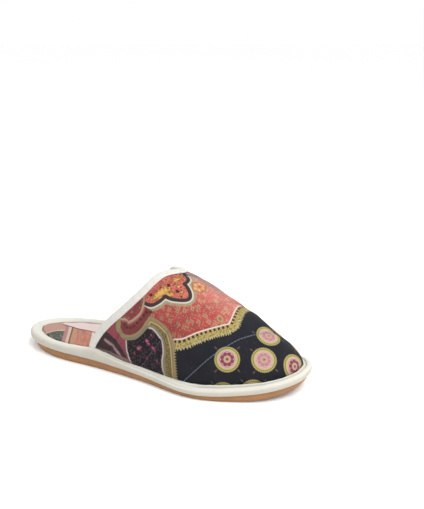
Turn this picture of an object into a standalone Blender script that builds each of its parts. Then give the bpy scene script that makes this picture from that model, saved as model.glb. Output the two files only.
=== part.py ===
# A closed-toe, backless house slipper of quilted printed cotton: the right shoe, empty, on its sole.
# +X runs from heel to toe, +Y is the wearer's left (the big-toe side), +Z is up.
# The origin is on the floor, under the middle of the slipper's length and width.

import math

import bmesh
import bpy
import numpy as np

# Driving sizes of the whole slipper, in metres
SHOE_LENGTH = 0.268
BALL_WIDTH = 0.0998
INSTEP_HEIGHT = 0.0775
TOE_SWING = 0.0026
RIDGE_SWING = 0.0092

# Rubber outsole
HEEL_THICKNESS = 0.0068
FOREFOOT_THICKNESS = 0.0034
TOE_SPRING = 0.0098
ARCH_LIFT = 0.0010
OUTSOLE_INSET = 0.0019
OUTSOLE_HEEL_INSET = 0.0044
OUTSOLE_RAKE = 0.0028
OUTSOLE_CHAMFER = 0.0008

# Padded roll that binds the edge of the sole, and the footbed inside it
ROLL_RADIUS = 0.0046
ROLL_WIDTH = 0.0097
FOOTBED_THICKNESS = 0.0074
FOOTBED_EDGE = 0.0022

# Quilted upper and the tape round its collar
UPPER_WALL = 0.0030
SPRING_LINE = 0.0077
SIDE_INSET = 0.0027
TOE_INSET = 0.0085
TAPE_LEG = 0.0045
TAPE_THICKNESS = 0.0010
TAPE_TAIL = 0.0050

# Clearance between pieces that touch on the real slipper
GAP = 0.0003
TAPE_GAP = 0.00035

# Shares of the length at which the forms of the sole begin and end
HEEL_ROUND = 0.23
TOE_ROUND = 0.30
TOE_FULLNESS = 2.13
WEDGE_START = 0.35
WEDGE_END = 0.65
ARCH_START = 0.36
ARCH_END = 0.60
SPRING_START = 0.68
HEEL_RAKE_END = 0.16

# Shares of the length for the upper: the ends of its collar, its throat, and its toe
COLLAR_FOOT = 0.312
THROAT = 0.566
TOE_CAP = 0.80
UPPER_TOE = 0.970
TOE_DROP = 1.33

# How finely the pieces are divided
OUTLINE_STEPS = 44
ROLL_STEPS = 8
UPPER_STEPS = 64
UPPER_ROWS = 18
TAPE_STEPS = 46

# Half width of the sole along its length, as a share of half the ball width
OUTLINE = (
    {"along": 0.00, "width": 0.643},
    {"along": 0.13, "width": 0.643},
    {"along": 0.30, "width": 0.679},
    {"along": 0.50, "width": 0.806},
    {"along": 0.70, "width": 1.000},
    {"along": 0.86, "width": 0.922},
    {"along": 1.00, "width": 0.922},
)

# Sections of the last: height of the ridge as a share of the instep height, and fullness,
# from 1.8 for a tent-like section to 2.3 for a rounder, squarer one
LAST = (
    {"along": 0.00, "height": 0.960, "fullness": 2.45},
    {"along": 0.36, "height": 0.965, "fullness": 2.45},
    {"along": 0.48, "height": 0.960, "fullness": 2.42},
    {"along": 0.60, "height": 0.880, "fullness": 2.15},
    {"along": 0.72, "height": 0.678, "fullness": 1.95},
    {"along": 0.84, "height": 0.457, "fullness": 1.79},
    {"along": 1.00, "height": 0.343, "fullness": 1.77},
)

# Line of the collar: 0 across is the ridge and 1 the sole; 1 along is the throat and 0 the foot
COLLAR = (
    {"across": 0.00, "along": 1.000},
    {"across": 0.20, "along": 0.865},
    {"across": 0.45, "along": 0.690},
    {"across": 0.65, "along": 0.488},
    {"across": 0.80, "along": 0.260},
    {"across": 0.90, "along": 0.110},
    {"across": 1.00, "along": 0.000},
)
COLLAR_END = 0.985

PAINTS = {
    "outsole": ((0.46, 0.27, 0.12, 1.0), 0.55),
    "footbed": ((0.30, 0.10, 0.10, 1.0), 0.85),
    "sole_binding": ((0.80, 0.75, 0.62, 1.0), 0.75),
    "upper": ((0.07, 0.06, 0.09, 1.0), 0.85),
    "collar_binding": ((0.80, 0.75, 0.62, 1.0), 0.75),
}


# Smooth reading of a table: a cubic through its rows that never overshoots them
def read_table(table, key, column, at):
    places = np.array([row[key] for row in table])
    values = np.array([row[column] for row in table])
    steps = np.diff(places)
    slopes = np.diff(values) / steps
    tangents = np.zeros(len(places))
    for i in range(1, len(places) - 1):
        if slopes[i - 1] * slopes[i] > 0.0:
            weight_a = 2.0 * steps[i] + steps[i - 1]
            weight_b = steps[i] + 2.0 * steps[i - 1]
            tangents[i] = (weight_a + weight_b) / (weight_a / slopes[i - 1] + weight_b / slopes[i])
    at = np.clip(np.asarray(at, float), places[0], places[-1])
    k = np.clip(np.searchsorted(places, at, side="right") - 1, 0, len(steps) - 1)
    u = (at - places[k]) / steps[k]
    ease = u * u * (3.0 - 2.0 * u)
    lead = u * (1.0 - u) ** 2 * steps[k] * tangents[k]
    tail = u * u * (u - 1.0) * steps[k] * tangents[k + 1]
    return values[k] + (values[k + 1] - values[k]) * ease + lead + tail


def ramp(at, start, end):
    return np.clip((np.asarray(at, float) - start) / (end - start), 0.0, 1.0)


# Form of the sole, at a share of the length
def half_width(share):
    full = read_table(OUTLINE, "along", "width", share) * BALL_WIDTH / 2.0
    heel = np.sqrt(np.clip(1.0 - ramp(share, HEEL_ROUND, 0.0) ** 2, 0.0, 1.0))
    toe = 1.0 - ramp(share, 1.0 - TOE_ROUND, 1.0) ** TOE_FULLNESS
    return full * heel * np.clip(toe, 0.0, 1.0) ** (1.0 / TOE_FULLNESS)


def centre_line(share):
    return TOE_SWING * ramp(share, 0.6, 1.0) ** 2


def place_x(share):
    return (np.asarray(share, float) - 0.5) * SHOE_LENGTH


def underside(share):
    spring = TOE_SPRING * ramp(share, SPRING_START, 1.0) ** 2
    arch = ARCH_LIFT * np.sin(math.pi * ramp(share, ARCH_START, ARCH_END)) ** 2
    return spring + arch


def outsole_top(share):
    wedge = HEEL_THICKNESS + (FOREFOOT_THICKNESS - HEEL_THICKNESS) * ramp(share, WEDGE_START, WEDGE_END)
    return TOE_SPRING * ramp(share, SPRING_START, 1.0) ** 2 + wedge


def outline_loop():
    """Points round the sole: heel, near side to the toe, and back along the far side."""
    angle = np.linspace(0.0, math.pi, OUTLINE_STEPS + 1)
    share = (1.0 - np.cos(angle)) / 2.0
    width = half_width(share)
    middle = centre_line(share)
    far = slice(OUTLINE_STEPS - 1, 0, -1)
    shares = np.concatenate([share, share[far]])
    points = np.stack([
        place_x(shares),
        np.concatenate([middle - width, (middle + width)[far]]),
    ], axis=1)
    ahead = np.roll(points, -1, axis=0) - np.roll(points, 1, axis=0)
    inward = np.stack([-ahead[:, 1], ahead[:, 0]], axis=1)
    inward /= np.linalg.norm(inward, axis=1)[:, None]
    side_shift = (points[:, 1].max() + points[:, 1].min()) / 2.0
    return shares, points, inward, side_shift


SHARES, RIM, INWARD, SIDE_SHIFT = outline_loop()


def ring(inset, level, rise):
    """One closed row of points round the sole, moved in from its outline, at a rise above a level."""
    flat = RIM + INWARD * np.broadcast_to(inset, SHARES.shape)[:, None]
    height = level(flat[:, 0] / SHOE_LENGTH + 0.5) + rise
    return np.column_stack([flat[:, 0], flat[:, 1] - SIDE_SHIFT, height])


# Form of the upper
def roll_top(inset):
    """Height of the padded roll above its seat, at a distance in from its outer edge."""
    slope = ramp(inset, ROLL_RADIUS, ROLL_WIDTH)
    return 2.0 * ROLL_RADIUS + (FOOTBED_THICKNESS - 2.0 * ROLL_RADIUS) * slope ** 1.5


def seam_inset(share):
    return SIDE_INSET + (TOE_INSET - SIDE_INSET) * ramp(share, 0.45, 0.70)


def toe_turn(share):
    return ramp(share, TOE_CAP, UPPER_TOE)


def last_surface(share, across):
    """Outer face of the upper: across is -1 and 1 at the sole's two sides and 0 on the ridge."""
    share = np.asarray(share, float)
    across = np.asarray(across, float)
    turn = toe_turn(share)
    drawn_out = TOE_CAP + (1.0 - TOE_CAP) * turn
    width = half_width(np.where(share > TOE_CAP, drawn_out, share))
    width = np.maximum(width - seam_inset(share) * np.sqrt(1.0 - turn ** 2), 0.0)
    height = INSTEP_HEIGHT * read_table(LAST, "along", "height", share)
    height = height * np.sqrt(np.clip(1.0 - turn ** TOE_DROP, 0.0, 1.0))
    power = 2.0 / read_table(LAST, "along", "fullness", share)
    angle = across * math.pi / 2.0
    side = np.sign(across) * np.abs(np.sin(angle)) ** power
    rise = np.clip(np.cos(angle), 0.0, 1.0) ** power
    swing = np.interp(share, [0.40, TOE_CAP, UPPER_TOE], [0.26 * RIDGE_SWING, RIDGE_SWING, 0.0])
    spring_line = outsole_top(share) + GAP + SPRING_LINE
    return np.stack([
        place_x(share),
        centre_line(share) - SIDE_SHIFT + width * side + swing * rise ** 2,
        spring_line + height * rise,
    ], axis=-1)


def collar_share(across):
    rise = read_table(COLLAR, "across", "along", np.abs(across))
    return COLLAR_FOOT + (THROAT - COLLAR_FOOT) * rise


def upper_grid(steps, rows):
    """Shares and places across for lines that fan from the sole's edge to the collar.

    The lines are laid on a half cylinder with a quarter ball at its toe end, which has no
    pinched corner, and are carried from there to the last.
    """
    cap = UPPER_TOE - TOE_CAP
    back = (collar_share(COLLAR_END) - TOE_CAP) / cap
    travel = np.linspace(0.0, 2.0 * -back + math.pi, steps + 1)
    straight = np.minimum(travel, -back) + back - np.maximum(travel + back - math.pi, 0.0)
    azimuth = np.clip(travel + back, 0.0, math.pi)
    foot = np.column_stack([straight + np.sin(azimuth), -np.cos(azimuth), np.zeros(steps + 1)])
    across = np.linspace(-COLLAR_END, COLLAR_END, steps + 1)
    turn = across * math.pi / 2.0
    collar = np.column_stack([(collar_share(across) - TOE_CAP) / cap, np.sin(turn), np.cos(turn)])
    blend = np.linspace(0.0, 1.0, rows + 1)[None, :, None]
    chord = foot[:, None, :] + (collar - foot)[:, None, :] * blend
    ball = np.where(chord[..., 0] > 0.0, chord[..., 0], 0.0)
    radius = np.sqrt(ball ** 2 + chord[..., 1] ** 2 + chord[..., 2] ** 2)
    forward = np.where(chord[..., 0] > 0.0, chord[..., 0] / radius, chord[..., 0])
    share = TOE_CAP + cap * forward
    across = np.arctan2(chord[..., 1], chord[..., 2]) / (math.pi / 2.0)
    return share, across


def last_frame(share, across):
    """Point of the last with its outward normal and the steps per unit of share and across."""
    small = 1e-4
    along = (last_surface(share + small, across) - last_surface(share - small, across)) / (2 * small)
    over = (last_surface(share, across + small) - last_surface(share, across - small)) / (2 * small)
    normal = np.cross(over, along)
    normal = -normal / np.linalg.norm(normal, axis=-1, keepdims=True)
    return last_surface(share, across), normal, along, over


# Making objects
def clear_scene():
    for thing in list(bpy.data.objects):
        bpy.data.objects.remove(thing, do_unlink=True)


def collection(name):
    group = bpy.data.collections.new(name)
    bpy.context.scene.collection.children.link(group)
    return group


def material(name):
    colour, roughness = PAINTS[name]
    paint = bpy.data.materials.new(name)
    paint.use_nodes = True
    shader = paint.node_tree.nodes["Principled BSDF"]
    shader.inputs["Base Color"].default_value = colour
    shader.inputs["Roughness"].default_value = roughness
    shader.inputs["Metallic"].default_value = 0.0
    paint.diffuse_color = colour
    return paint


def mesh_object(name, points, faces, group, closed=True):
    mesh = bpy.data.meshes.new(name)
    mesh.from_pydata([tuple(p) for p in points], [], faces)
    solid = bmesh.new()
    solid.from_mesh(mesh)
    bmesh.ops.remove_doubles(solid, verts=solid.verts, dist=0.00002)
    if closed:
        bmesh.ops.recalc_face_normals(solid, faces=solid.faces)
    solid.to_mesh(mesh)
    solid.free()
    thing = bpy.data.objects.new(name, mesh)
    group.objects.link(thing)
    if name in PAINTS:
        mesh.materials.append(material(name))
        mesh.shade_smooth()
        mesh.set_sharp_from_angle(angle=math.radians(35.0))
    return thing


def strip_faces(count, row_length, close_rows, close_ends):
    """Quads between rows of points that lie one after another."""
    faces = []
    for i in range(count if close_ends else count - 1):
        following = (i + 1) % count
        for j in range(row_length if close_rows else row_length - 1):
            beside = (j + 1) % row_length
            faces.append((
                i * row_length + j,
                following * row_length + j,
                following * row_length + beside,
                i * row_length + beside,
            ))
    return faces


def plate_faces(start):
    """Faces that close one ring of the sole, in slices across it."""
    last = OUTLINE_STEPS
    far = 2 * OUTLINE_STEPS
    faces = [(start, start + 1, start + far - 1)]
    for i in range(1, last - 1):
        faces.append((start + i, start + i + 1, start + far - i - 1, start + far - i))
    faces.append((start + last - 1, start + last, start + last + 1))
    return faces


def plate(name, rings, group):
    """A solid of rings stacked from the bottom up, closed below and above."""
    count = len(SHARES)
    faces = strip_faces(len(rings), count, close_rows=True, close_ends=False)
    faces += plate_faces(0) + plate_faces((len(rings) - 1) * count)
    return mesh_object(name, np.concatenate(rings), faces, group)


# Outsole: one sheet of tan rubber, wedged at the heel, with a raked and chamfered edge
def make_outsole(group):
    heel = ramp(SHARES, HEEL_RAKE_END, 0.0) ** 1.5
    top_inset = OUTSOLE_INSET + (OUTSOLE_HEEL_INSET - OUTSOLE_INSET) * heel
    toe = ramp(SHARES, 1.0 - HEEL_RAKE_END, 1.0) ** 1.5
    foot_inset = top_inset + OUTSOLE_RAKE * (0.1 + 0.9 * np.maximum(heel, toe))
    rings = [
        ring(foot_inset + OUTSOLE_CHAMFER, underside, 0.0),
        ring(foot_inset, underside, OUTSOLE_CHAMFER),
        ring(top_inset, outsole_top, 0.0),
    ]
    return plate("outsole", rings, group)


# Footbed: the padded insole board that lies inside the roll
def make_footbed(group):
    inset = ROLL_WIDTH + GAP
    top = GAP + FOOTBED_THICKNESS
    rings = [
        ring(inset, outsole_top, GAP),
        ring(inset, outsole_top, top - FOOTBED_EDGE),
        ring(inset + 0.3 * FOOTBED_EDGE, outsole_top, top - 0.3 * FOOTBED_EDGE),
        ring(inset + FOOTBED_EDGE, outsole_top, top),
    ]
    return plate("footbed", rings, group)


# Sole binding: a cotton tape over a cord of wadding, sewn round the edge of the sole
def make_sole_binding(group):
    section = [(ROLL_WIDTH, 0.0)]
    for angle in np.radians(np.linspace(-90.0, 90.0, ROLL_STEPS + 1)):
        section.append((ROLL_RADIUS * (1.0 - math.cos(angle)), ROLL_RADIUS * (1.0 + math.sin(angle))))
    middle = (ROLL_RADIUS + ROLL_WIDTH) / 2.0
    section.append((middle, float(roll_top(middle))))
    section.append((ROLL_WIDTH, float(roll_top(ROLL_WIDTH))))
    rings = [ring(inset, outsole_top, GAP + height) for inset, height in section]
    faces = strip_faces(len(rings), len(SHARES), close_rows=True, close_ends=True)
    return mesh_object("sole_binding", np.concatenate(rings), faces, group)


# Upper: one quilted wall from the sole's edge to the collar, open behind and underneath
def make_upper(group, seam_cutter):
    share, across = upper_grid(UPPER_STEPS, UPPER_ROWS)
    points = last_surface(share, across).reshape(-1, 3)
    faces = strip_faces(UPPER_STEPS + 1, UPPER_ROWS + 1, close_rows=False, close_ends=False)
    upper = mesh_object("upper", points, faces, group, closed=False)
    wall = upper.modifiers.new("Quilted wall", "SOLIDIFY")
    wall.thickness = UPPER_WALL
    wall.offset = -1.0
    wall.use_even_offset = True
    trim_at_sole(upper, seam_cutter)
    return upper


def trim_at_sole(piece, seam_cutter):
    trim = piece.modifiers.new("Seam at the sole", "BOOLEAN")
    trim.operation = "DIFFERENCE"
    trim.solver = "EXACT"
    trim.object = seam_cutter


def seam_depth(shares):
    """How far in from the edge of the sole the foot of the upper lies, measured square to the edge."""
    fine = np.linspace(0.0, 1.0, 600)
    edge = np.column_stack([place_x(fine), centre_line(fine) - half_width(fine) - SIDE_SHIFT])
    foot = last_surface(np.clip(shares, 0.0, UPPER_TOE), np.full(len(shares), -1.0))[:, :2]
    return np.linalg.norm(foot[:, None, :] - edge[None, :, :], axis=2).min(axis=1)


def make_seam_cutter(group):
    """Block under the upper whose top follows the roll that the upper stands on."""
    shares = np.linspace(-0.05, 1.05, 45)
    inset = np.maximum(seam_depth(shares), ROLL_RADIUS)
    top = outsole_top(shares) + GAP + roll_top(inset) + GAP
    reach = BALL_WIDTH
    low = -INSTEP_HEIGHT
    points = []
    for x, z in zip(place_x(shares), top):
        points += [(x, -reach, low), (x, reach, low), (x, reach, z), (x, -reach, z)]
    faces = strip_faces(len(shares), 4, close_rows=True, close_ends=False)
    end = 4 * (len(shares) - 1)
    faces += [(0, 1, 2, 3), (end, end + 3, end + 2, end + 1)]
    cutter = mesh_object("seam_cutter", points, faces, group)
    cutter.hide_render = True
    cutter.display_type = "WIRE"
    return cutter


# Collar binding: a cotton tape folded over the upper's edge, rounded along the fold
def make_collar_binding(group, seam_cutter):
    across = np.linspace(-COLLAR_END, COLLAR_END, TAPE_STEPS + 1)
    share = collar_share(across)
    point, normal, along, over = last_frame(share, across)
    run = np.gradient(point, axis=0)
    run /= np.linalg.norm(run, axis=1)[:, None]
    forward = np.cross(normal, run)
    forward *= np.sign(forward[:, :1])
    fold = UPPER_WALL / 2.0 + TAPE_GAP + TAPE_THICKNESS / 2.0
    profile = [(TAPE_LEG, fold), (TAPE_LEG / 2.0, fold)]
    for angle in np.radians(np.linspace(90.0, 270.0, 7)):
        profile.append((fold * math.cos(angle) - GAP, fold * math.sin(angle)))
    profile += [(TAPE_LEG / 2.0, -fold), (TAPE_LEG, -fold)]
    rows = []
    for reach, rise in profile:
        spot, facing = step_along(share, across, forward * max(reach, 0.0), along, over)
        row = spot + forward * min(reach, 0.0) + facing * (rise - UPPER_WALL / 2.0)
        tails = TAPE_TAIL * run
        rows.append(np.concatenate([row[:1] - tails[:1], row, row[-1:] + tails[-1:]]))
    points = np.stack(rows, axis=1).reshape(-1, 3)
    faces = strip_faces(TAPE_STEPS + 3, len(profile), close_rows=False, close_ends=False)
    tape = mesh_object("collar_binding", points, faces, group, closed=False)
    wall = tape.modifiers.new("Tape", "SOLIDIFY")
    wall.thickness = TAPE_THICKNESS
    wall.offset = 0.0
    wall.use_even_offset = True
    trim_at_sole(tape, seam_cutter)
    return tape


def step_along(share, across, move, along, over):
    """Point and normal of the last a short way from a place on it."""
    change = np.zeros((len(share), 2))
    for i in range(len(share)):
        pair = np.column_stack([along[i], over[i]])
        change[i] = np.linalg.lstsq(pair, move[i], rcond=None)[0]
    spot, facing = last_frame(share + change[:, 0], across + change[:, 1])[:2]
    return spot, facing


clear_scene()
slipper = collection("slipper")
cutters = collection("cutters")
make_outsole(slipper)
make_footbed(slipper)
make_sole_binding(slipper)
seam_cutter = make_seam_cutter(cutters)
make_upper(slipper, seam_cutter)
make_collar_binding(slipper, seam_cutter)
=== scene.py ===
import math

import bpy
import numpy as np
from mathutils import Matrix, Vector


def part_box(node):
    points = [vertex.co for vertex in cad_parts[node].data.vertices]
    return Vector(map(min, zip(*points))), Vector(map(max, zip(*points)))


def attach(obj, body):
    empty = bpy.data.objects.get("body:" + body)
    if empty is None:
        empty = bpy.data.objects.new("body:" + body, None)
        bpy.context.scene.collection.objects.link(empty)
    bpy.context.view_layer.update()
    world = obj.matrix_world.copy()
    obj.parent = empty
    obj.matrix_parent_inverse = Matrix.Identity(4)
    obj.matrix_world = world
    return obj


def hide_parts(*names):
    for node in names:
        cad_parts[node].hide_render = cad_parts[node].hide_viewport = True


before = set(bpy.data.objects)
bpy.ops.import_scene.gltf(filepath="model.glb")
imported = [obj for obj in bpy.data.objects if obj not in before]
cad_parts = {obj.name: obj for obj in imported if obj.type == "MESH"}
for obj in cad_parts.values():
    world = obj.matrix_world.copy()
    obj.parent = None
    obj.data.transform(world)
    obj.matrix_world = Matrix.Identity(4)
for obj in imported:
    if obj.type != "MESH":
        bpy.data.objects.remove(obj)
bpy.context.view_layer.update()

# Studio
# The slipper stands alone on a plain white floor, in wide soft light from above, and the
# camera looks down on its outer side from in front of the toe.
CAMERA_TURN = math.radians(24.56)
CAMERA_TILT = math.radians(17.41)
CAMERA_ROLL = math.radians(-0.57)
CAMERA_DISTANCE = 0.6258
CAMERA_LENS = 50.0
CAMERA_SENSOR = 36.0
IMAGE_WIDTH = 424
IMAGE_HEIGHT = 509
MIDDLE_PIXEL_X = 160.67
MIDDLE_PIXEL_Y = 361.9
FLOOR_SIZE = 30.0
FLOOR_WHITE = (0.995, 0.995, 0.995, 1.0)


def linear(red, green, blue):
    """A colour seen on a screen, from 0 to 255, as the linear light that a shader takes."""
    seen = np.array([red, green, blue]) / 255.0
    light = np.where(seen <= 0.04045, seen / 12.92, ((seen + 0.055) / 1.055) ** 2.4)
    return (float(light[0]), float(light[1]), float(light[2]), 1.0)


def stand_camera():
    right = Vector((math.cos(CAMERA_TURN), math.sin(CAMERA_TURN), 0.0))
    back = Vector((
        math.sin(CAMERA_TURN) * math.cos(CAMERA_TILT),
        -math.cos(CAMERA_TURN) * math.cos(CAMERA_TILT),
        math.sin(CAMERA_TILT),
    ))
    up = back.cross(right)
    rolled_right = right * math.cos(CAMERA_ROLL) + up * math.sin(CAMERA_ROLL)
    rolled_up = up * math.cos(CAMERA_ROLL) - right * math.sin(CAMERA_ROLL)
    turn = Matrix((rolled_right, rolled_up, back)).transposed()
    pixels = CAMERA_LENS / CAMERA_SENSOR * IMAGE_HEIGHT
    ray = Vector((
        (MIDDLE_PIXEL_X - IMAGE_WIDTH / 2) / pixels,
        (IMAGE_HEIGHT / 2 - MIDDLE_PIXEL_Y) / pixels,
        -1.0,
    )).normalized()
    camera = bpy.data.objects.new("camera", bpy.data.cameras.new("camera"))
    camera.data.lens = CAMERA_LENS
    camera.data.sensor_width = CAMERA_SENSOR
    camera.matrix_world = Matrix.Translation(turn @ (-CAMERA_DISTANCE * ray)) @ turn.to_4x4()
    bpy.context.collection.objects.link(camera)
    bpy.context.scene.camera = camera


def soft_lamp(name, place, size, watts):
    lamp = bpy.data.objects.new(name, bpy.data.lights.new(name, "AREA"))
    lamp.data.energy = watts
    lamp.data.size = size
    lamp.location = place
    lamp.rotation_euler = (-Vector(place)).to_track_quat("-Z", "Y").to_euler()
    bpy.context.collection.objects.link(lamp)


stand_camera()
soft_lamp("top_light", place=(0.75, -0.10, 1.30), size=1.0, watts=17.0)
soft_lamp("front_light", place=(1.2, -1.0, 0.7), size=1.0, watts=4.0)

room = bpy.data.worlds.new("room")
room.use_nodes = True
room.node_tree.nodes["Background"].inputs["Color"].default_value = (1.0, 1.0, 1.0, 1.0)
room.node_tree.nodes["Background"].inputs["Strength"].default_value = 1.0
bpy.context.scene.world = room
bpy.context.scene.view_settings.view_transform = "Standard"

bpy.ops.object.select_all(action="DESELECT")
bpy.ops.mesh.primitive_plane_add(size=FLOOR_SIZE)
floor = bpy.context.object
floor.name = "floor"
floor_paint = bpy.data.materials.new("white_floor")
floor_paint.use_nodes = True
floor_inputs = floor_paint.node_tree.nodes["Principled BSDF"].inputs
floor_inputs["Base Color"].default_value = FLOOR_WHITE
floor_inputs["Roughness"].default_value = 0.9
floor.data.materials.append(floor_paint)


# Outsole
# One sheet of tan rubber, thicker under the heel and thin under the ball, cut with a raked
# edge. It is cemented under the bound edge, and its toe springs up off the floor.
sole_low, sole_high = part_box("sole_binding")
SHOE_LENGTH = sole_high[0] - sole_low[0]
BALL_WIDTH = 0.0998
TOE_SWING = 0.0026
TOE_SWING_START = 0.6
HEEL_THICKNESS = 0.0068
FOREFOOT_THICKNESS = 0.0034
WEDGE_START = 0.35
WEDGE_END = 0.65
TOE_SPRING = 0.0098
TOE_SPRING_START = 0.68
UNDER_SPRING = 0.0080
UNDER_SPRING_START = 0.78
ARCH_LIFT = 0.0003
ARCH_START = 0.36
ARCH_END = 0.60
OUTSOLE_INSET = 0.0019
OUTSOLE_HEEL_INSET = 0.0044
OUTSOLE_RAKE = 0.0028
OUTSOLE_CHAMFER = 0.0008
OUTSOLE_BULGE = 0.0004
HEEL_ROUND = 0.23
TOE_ROUND = 0.30
TOE_FULLNESS = 2.13
HEEL_RAKE_END = 0.16
RING_STEPS = 130
MERGE_DISTANCE = 0.00001
SMOOTH_ANGLE = math.radians(40.0)
TREAD_PITCH = 0.0054
TREAD_SWAY = 0.0016
TREAD_SWAY_PITCH = 0.0170
RUBBER_TAN = (158, 112, 68)
RUBBER_SHADE = (126, 88, 54)
# Painted shade for the grooves of the tread
RUBBER_GROOVE_SHADE = (96, 64, 38)

# Along the sole, its half width as a share of half the ball width
OUTLINE = (
    (0.00, 0.643), (0.13, 0.643), (0.30, 0.679), (0.50, 0.806), (0.70, 1.000), (0.86, 0.922), (1.00, 0.922),
)


def ease(u):
    return u * u * (3.0 - 2.0 * u)


def read_table(table, at):
    """Smooth reading of a table: a cubic through its rows that never overshoots them."""
    places, values = np.array(table).T
    steps = np.diff(places)
    slopes = np.diff(values) / steps
    tangents = np.zeros(len(places))
    for i in range(1, len(places) - 1):
        if slopes[i - 1] * slopes[i] > 0.0:
            weight_a = 2.0 * steps[i] + steps[i - 1]
            weight_b = steps[i] + 2.0 * steps[i - 1]
            tangents[i] = (weight_a + weight_b) / (weight_a / slopes[i - 1] + weight_b / slopes[i])
    at = np.clip(np.asarray(at, float), places[0], places[-1])
    k = np.clip(np.searchsorted(places, at, side="right") - 1, 0, len(steps) - 1)
    u = (at - places[k]) / steps[k]
    lead = u * (1.0 - u) ** 2 * steps[k] * tangents[k]
    tail = u * u * (u - 1.0) * steps[k] * tangents[k + 1]
    return values[k] + (values[k + 1] - values[k]) * ease(u) + lead + tail


def ramp(at, start, end):
    return np.clip((np.asarray(at, float) - start) / (end - start), 0.0, 1.0)


def plateau(at, rise_start, rise_end, fall_start, fall_end):
    return ramp(at, rise_start, rise_end) * (1.0 - ramp(at, fall_start, fall_end))


def half_width(share):
    full = read_table(OUTLINE, share) * BALL_WIDTH / 2.0
    heel = np.sqrt(np.clip(1.0 - ramp(share, HEEL_ROUND, 0.0) ** 2, 0.0, 1.0))
    toe = 1.0 - ramp(share, 1.0 - TOE_ROUND, 1.0) ** TOE_FULLNESS
    return full * heel * np.clip(toe, 0.0, 1.0) ** (1.0 / TOE_FULLNESS)


def centre_line(share):
    return TOE_SWING * ramp(share, TOE_SWING_START, 1.0) ** 2


def place_x(share):
    return (np.asarray(share, float) - 0.5) * SHOE_LENGTH


def underside(share):
    arch = ARCH_LIFT * np.sin(math.pi * ramp(share, ARCH_START, ARCH_END)) ** 2
    return UNDER_SPRING * ramp(share, UNDER_SPRING_START, 1.0) ** 2 + arch


def outsole_top(share):
    wedge = (FOREFOOT_THICKNESS - HEEL_THICKNESS) * ramp(share, WEDGE_START, WEDGE_END)
    return TOE_SPRING * ramp(share, TOE_SPRING_START, 1.0) ** 2 + (HEEL_THICKNESS + wedge)


def outline_ring(steps):
    """Points round the sole with their inward directions, from the heel along the near side."""
    angle = np.linspace(0.0, 2.0 * math.pi, 2 * steps + 1)
    share = (1.0 - np.cos(angle)) / 2.0
    side = np.where(angle < math.pi, -1.0, 1.0)
    points = np.column_stack([place_x(share), centre_line(share) + side * half_width(share)])
    ahead = np.roll(points[:-1], -1, axis=0) - np.roll(points[:-1], 1, axis=0)
    inward = np.stack([-ahead[:, 1], ahead[:, 0]], axis=1)
    inward /= np.linalg.norm(inward, axis=1)[:, None]
    inward = np.concatenate([inward, inward[:1]])
    return share, points, inward


SHARES, RIM, INWARD = outline_ring(RING_STEPS)
SIDE_SHIFT = (RIM[:, 1].max() + RIM[:, 1].min()) / 2.0
AROUND = np.concatenate([[0.0], np.cumsum(np.linalg.norm(np.diff(RIM, axis=0), axis=1))])


def ring(inset, level, rise):
    """A closed row of points round the sole, moved in from its outline, at a rise above a level."""
    flat = RIM + INWARD * np.broadcast_to(inset, SHARES.shape)[:, None]
    height = level(flat[:, 0] / SHOE_LENGTH + 0.5) + rise
    return np.column_stack([flat[:, 0], flat[:, 1] - SIDE_SHIFT, height])


def rings_to_middle(edge, level, rise, steps):
    """Rows of points from one ring of the sole in to its middle line."""
    share = edge[:, 0] / SHOE_LENGTH + 0.5
    middle = np.column_stack([edge[:, 0], centre_line(share) - SIDE_SHIFT, level(share) + rise])
    blend = np.sin(np.linspace(0.0, math.pi / 2.0, steps + 1))[1:, None, None]
    return list(edge[None] + (middle - edge)[None] * blend)


def lay_grid(name, rows, cloth=None):
    """A grid laid through rows of points; cloth gives each point's place on the flat cloth."""
    rows = np.asarray(rows, float)
    bpy.ops.object.select_all(action="DESELECT")
    bpy.ops.mesh.primitive_grid_add(x_subdivisions=rows.shape[1] - 1, y_subdivisions=rows.shape[0] - 1)
    piece = bpy.context.object
    piece.name = name
    piece.data.name = name
    piece.data.vertices.foreach_set("co", rows.reshape(-1))
    if cloth is not None:
        corners = np.empty(len(piece.data.loops), np.int32)
        piece.data.loops.foreach_get("vertex_index", corners)
        places = np.asarray(cloth).reshape(-1, 2)[corners]
        piece.data.uv_layers.active.data.foreach_set("uv", places.reshape(-1))
    piece.data.update()
    return piece


def set_field(piece, name, values):
    """Keeps a number at each point of the mesh for the finish to read."""
    field = piece.data.attributes.new(name, "FLOAT", "POINT")
    field.data.foreach_set("value", np.asarray(values, np.float32).reshape(-1))


def close_seams(piece, turn_out=True):
    """Joins the edges that meet, turns the faces outwards and shades them smooth."""
    bpy.ops.object.mode_set(mode="EDIT")
    bpy.ops.mesh.select_all(action="SELECT")
    bpy.ops.mesh.remove_doubles(threshold=MERGE_DISTANCE)
    bpy.ops.mesh.dissolve_degenerate(threshold=MERGE_DISTANCE / 10.0)
    if turn_out:
        bpy.ops.mesh.normals_make_consistent(inside=False)
    bpy.ops.object.mode_set(mode="OBJECT")
    bpy.ops.object.shade_smooth_by_angle(angle=SMOOTH_ANGLE)


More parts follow.
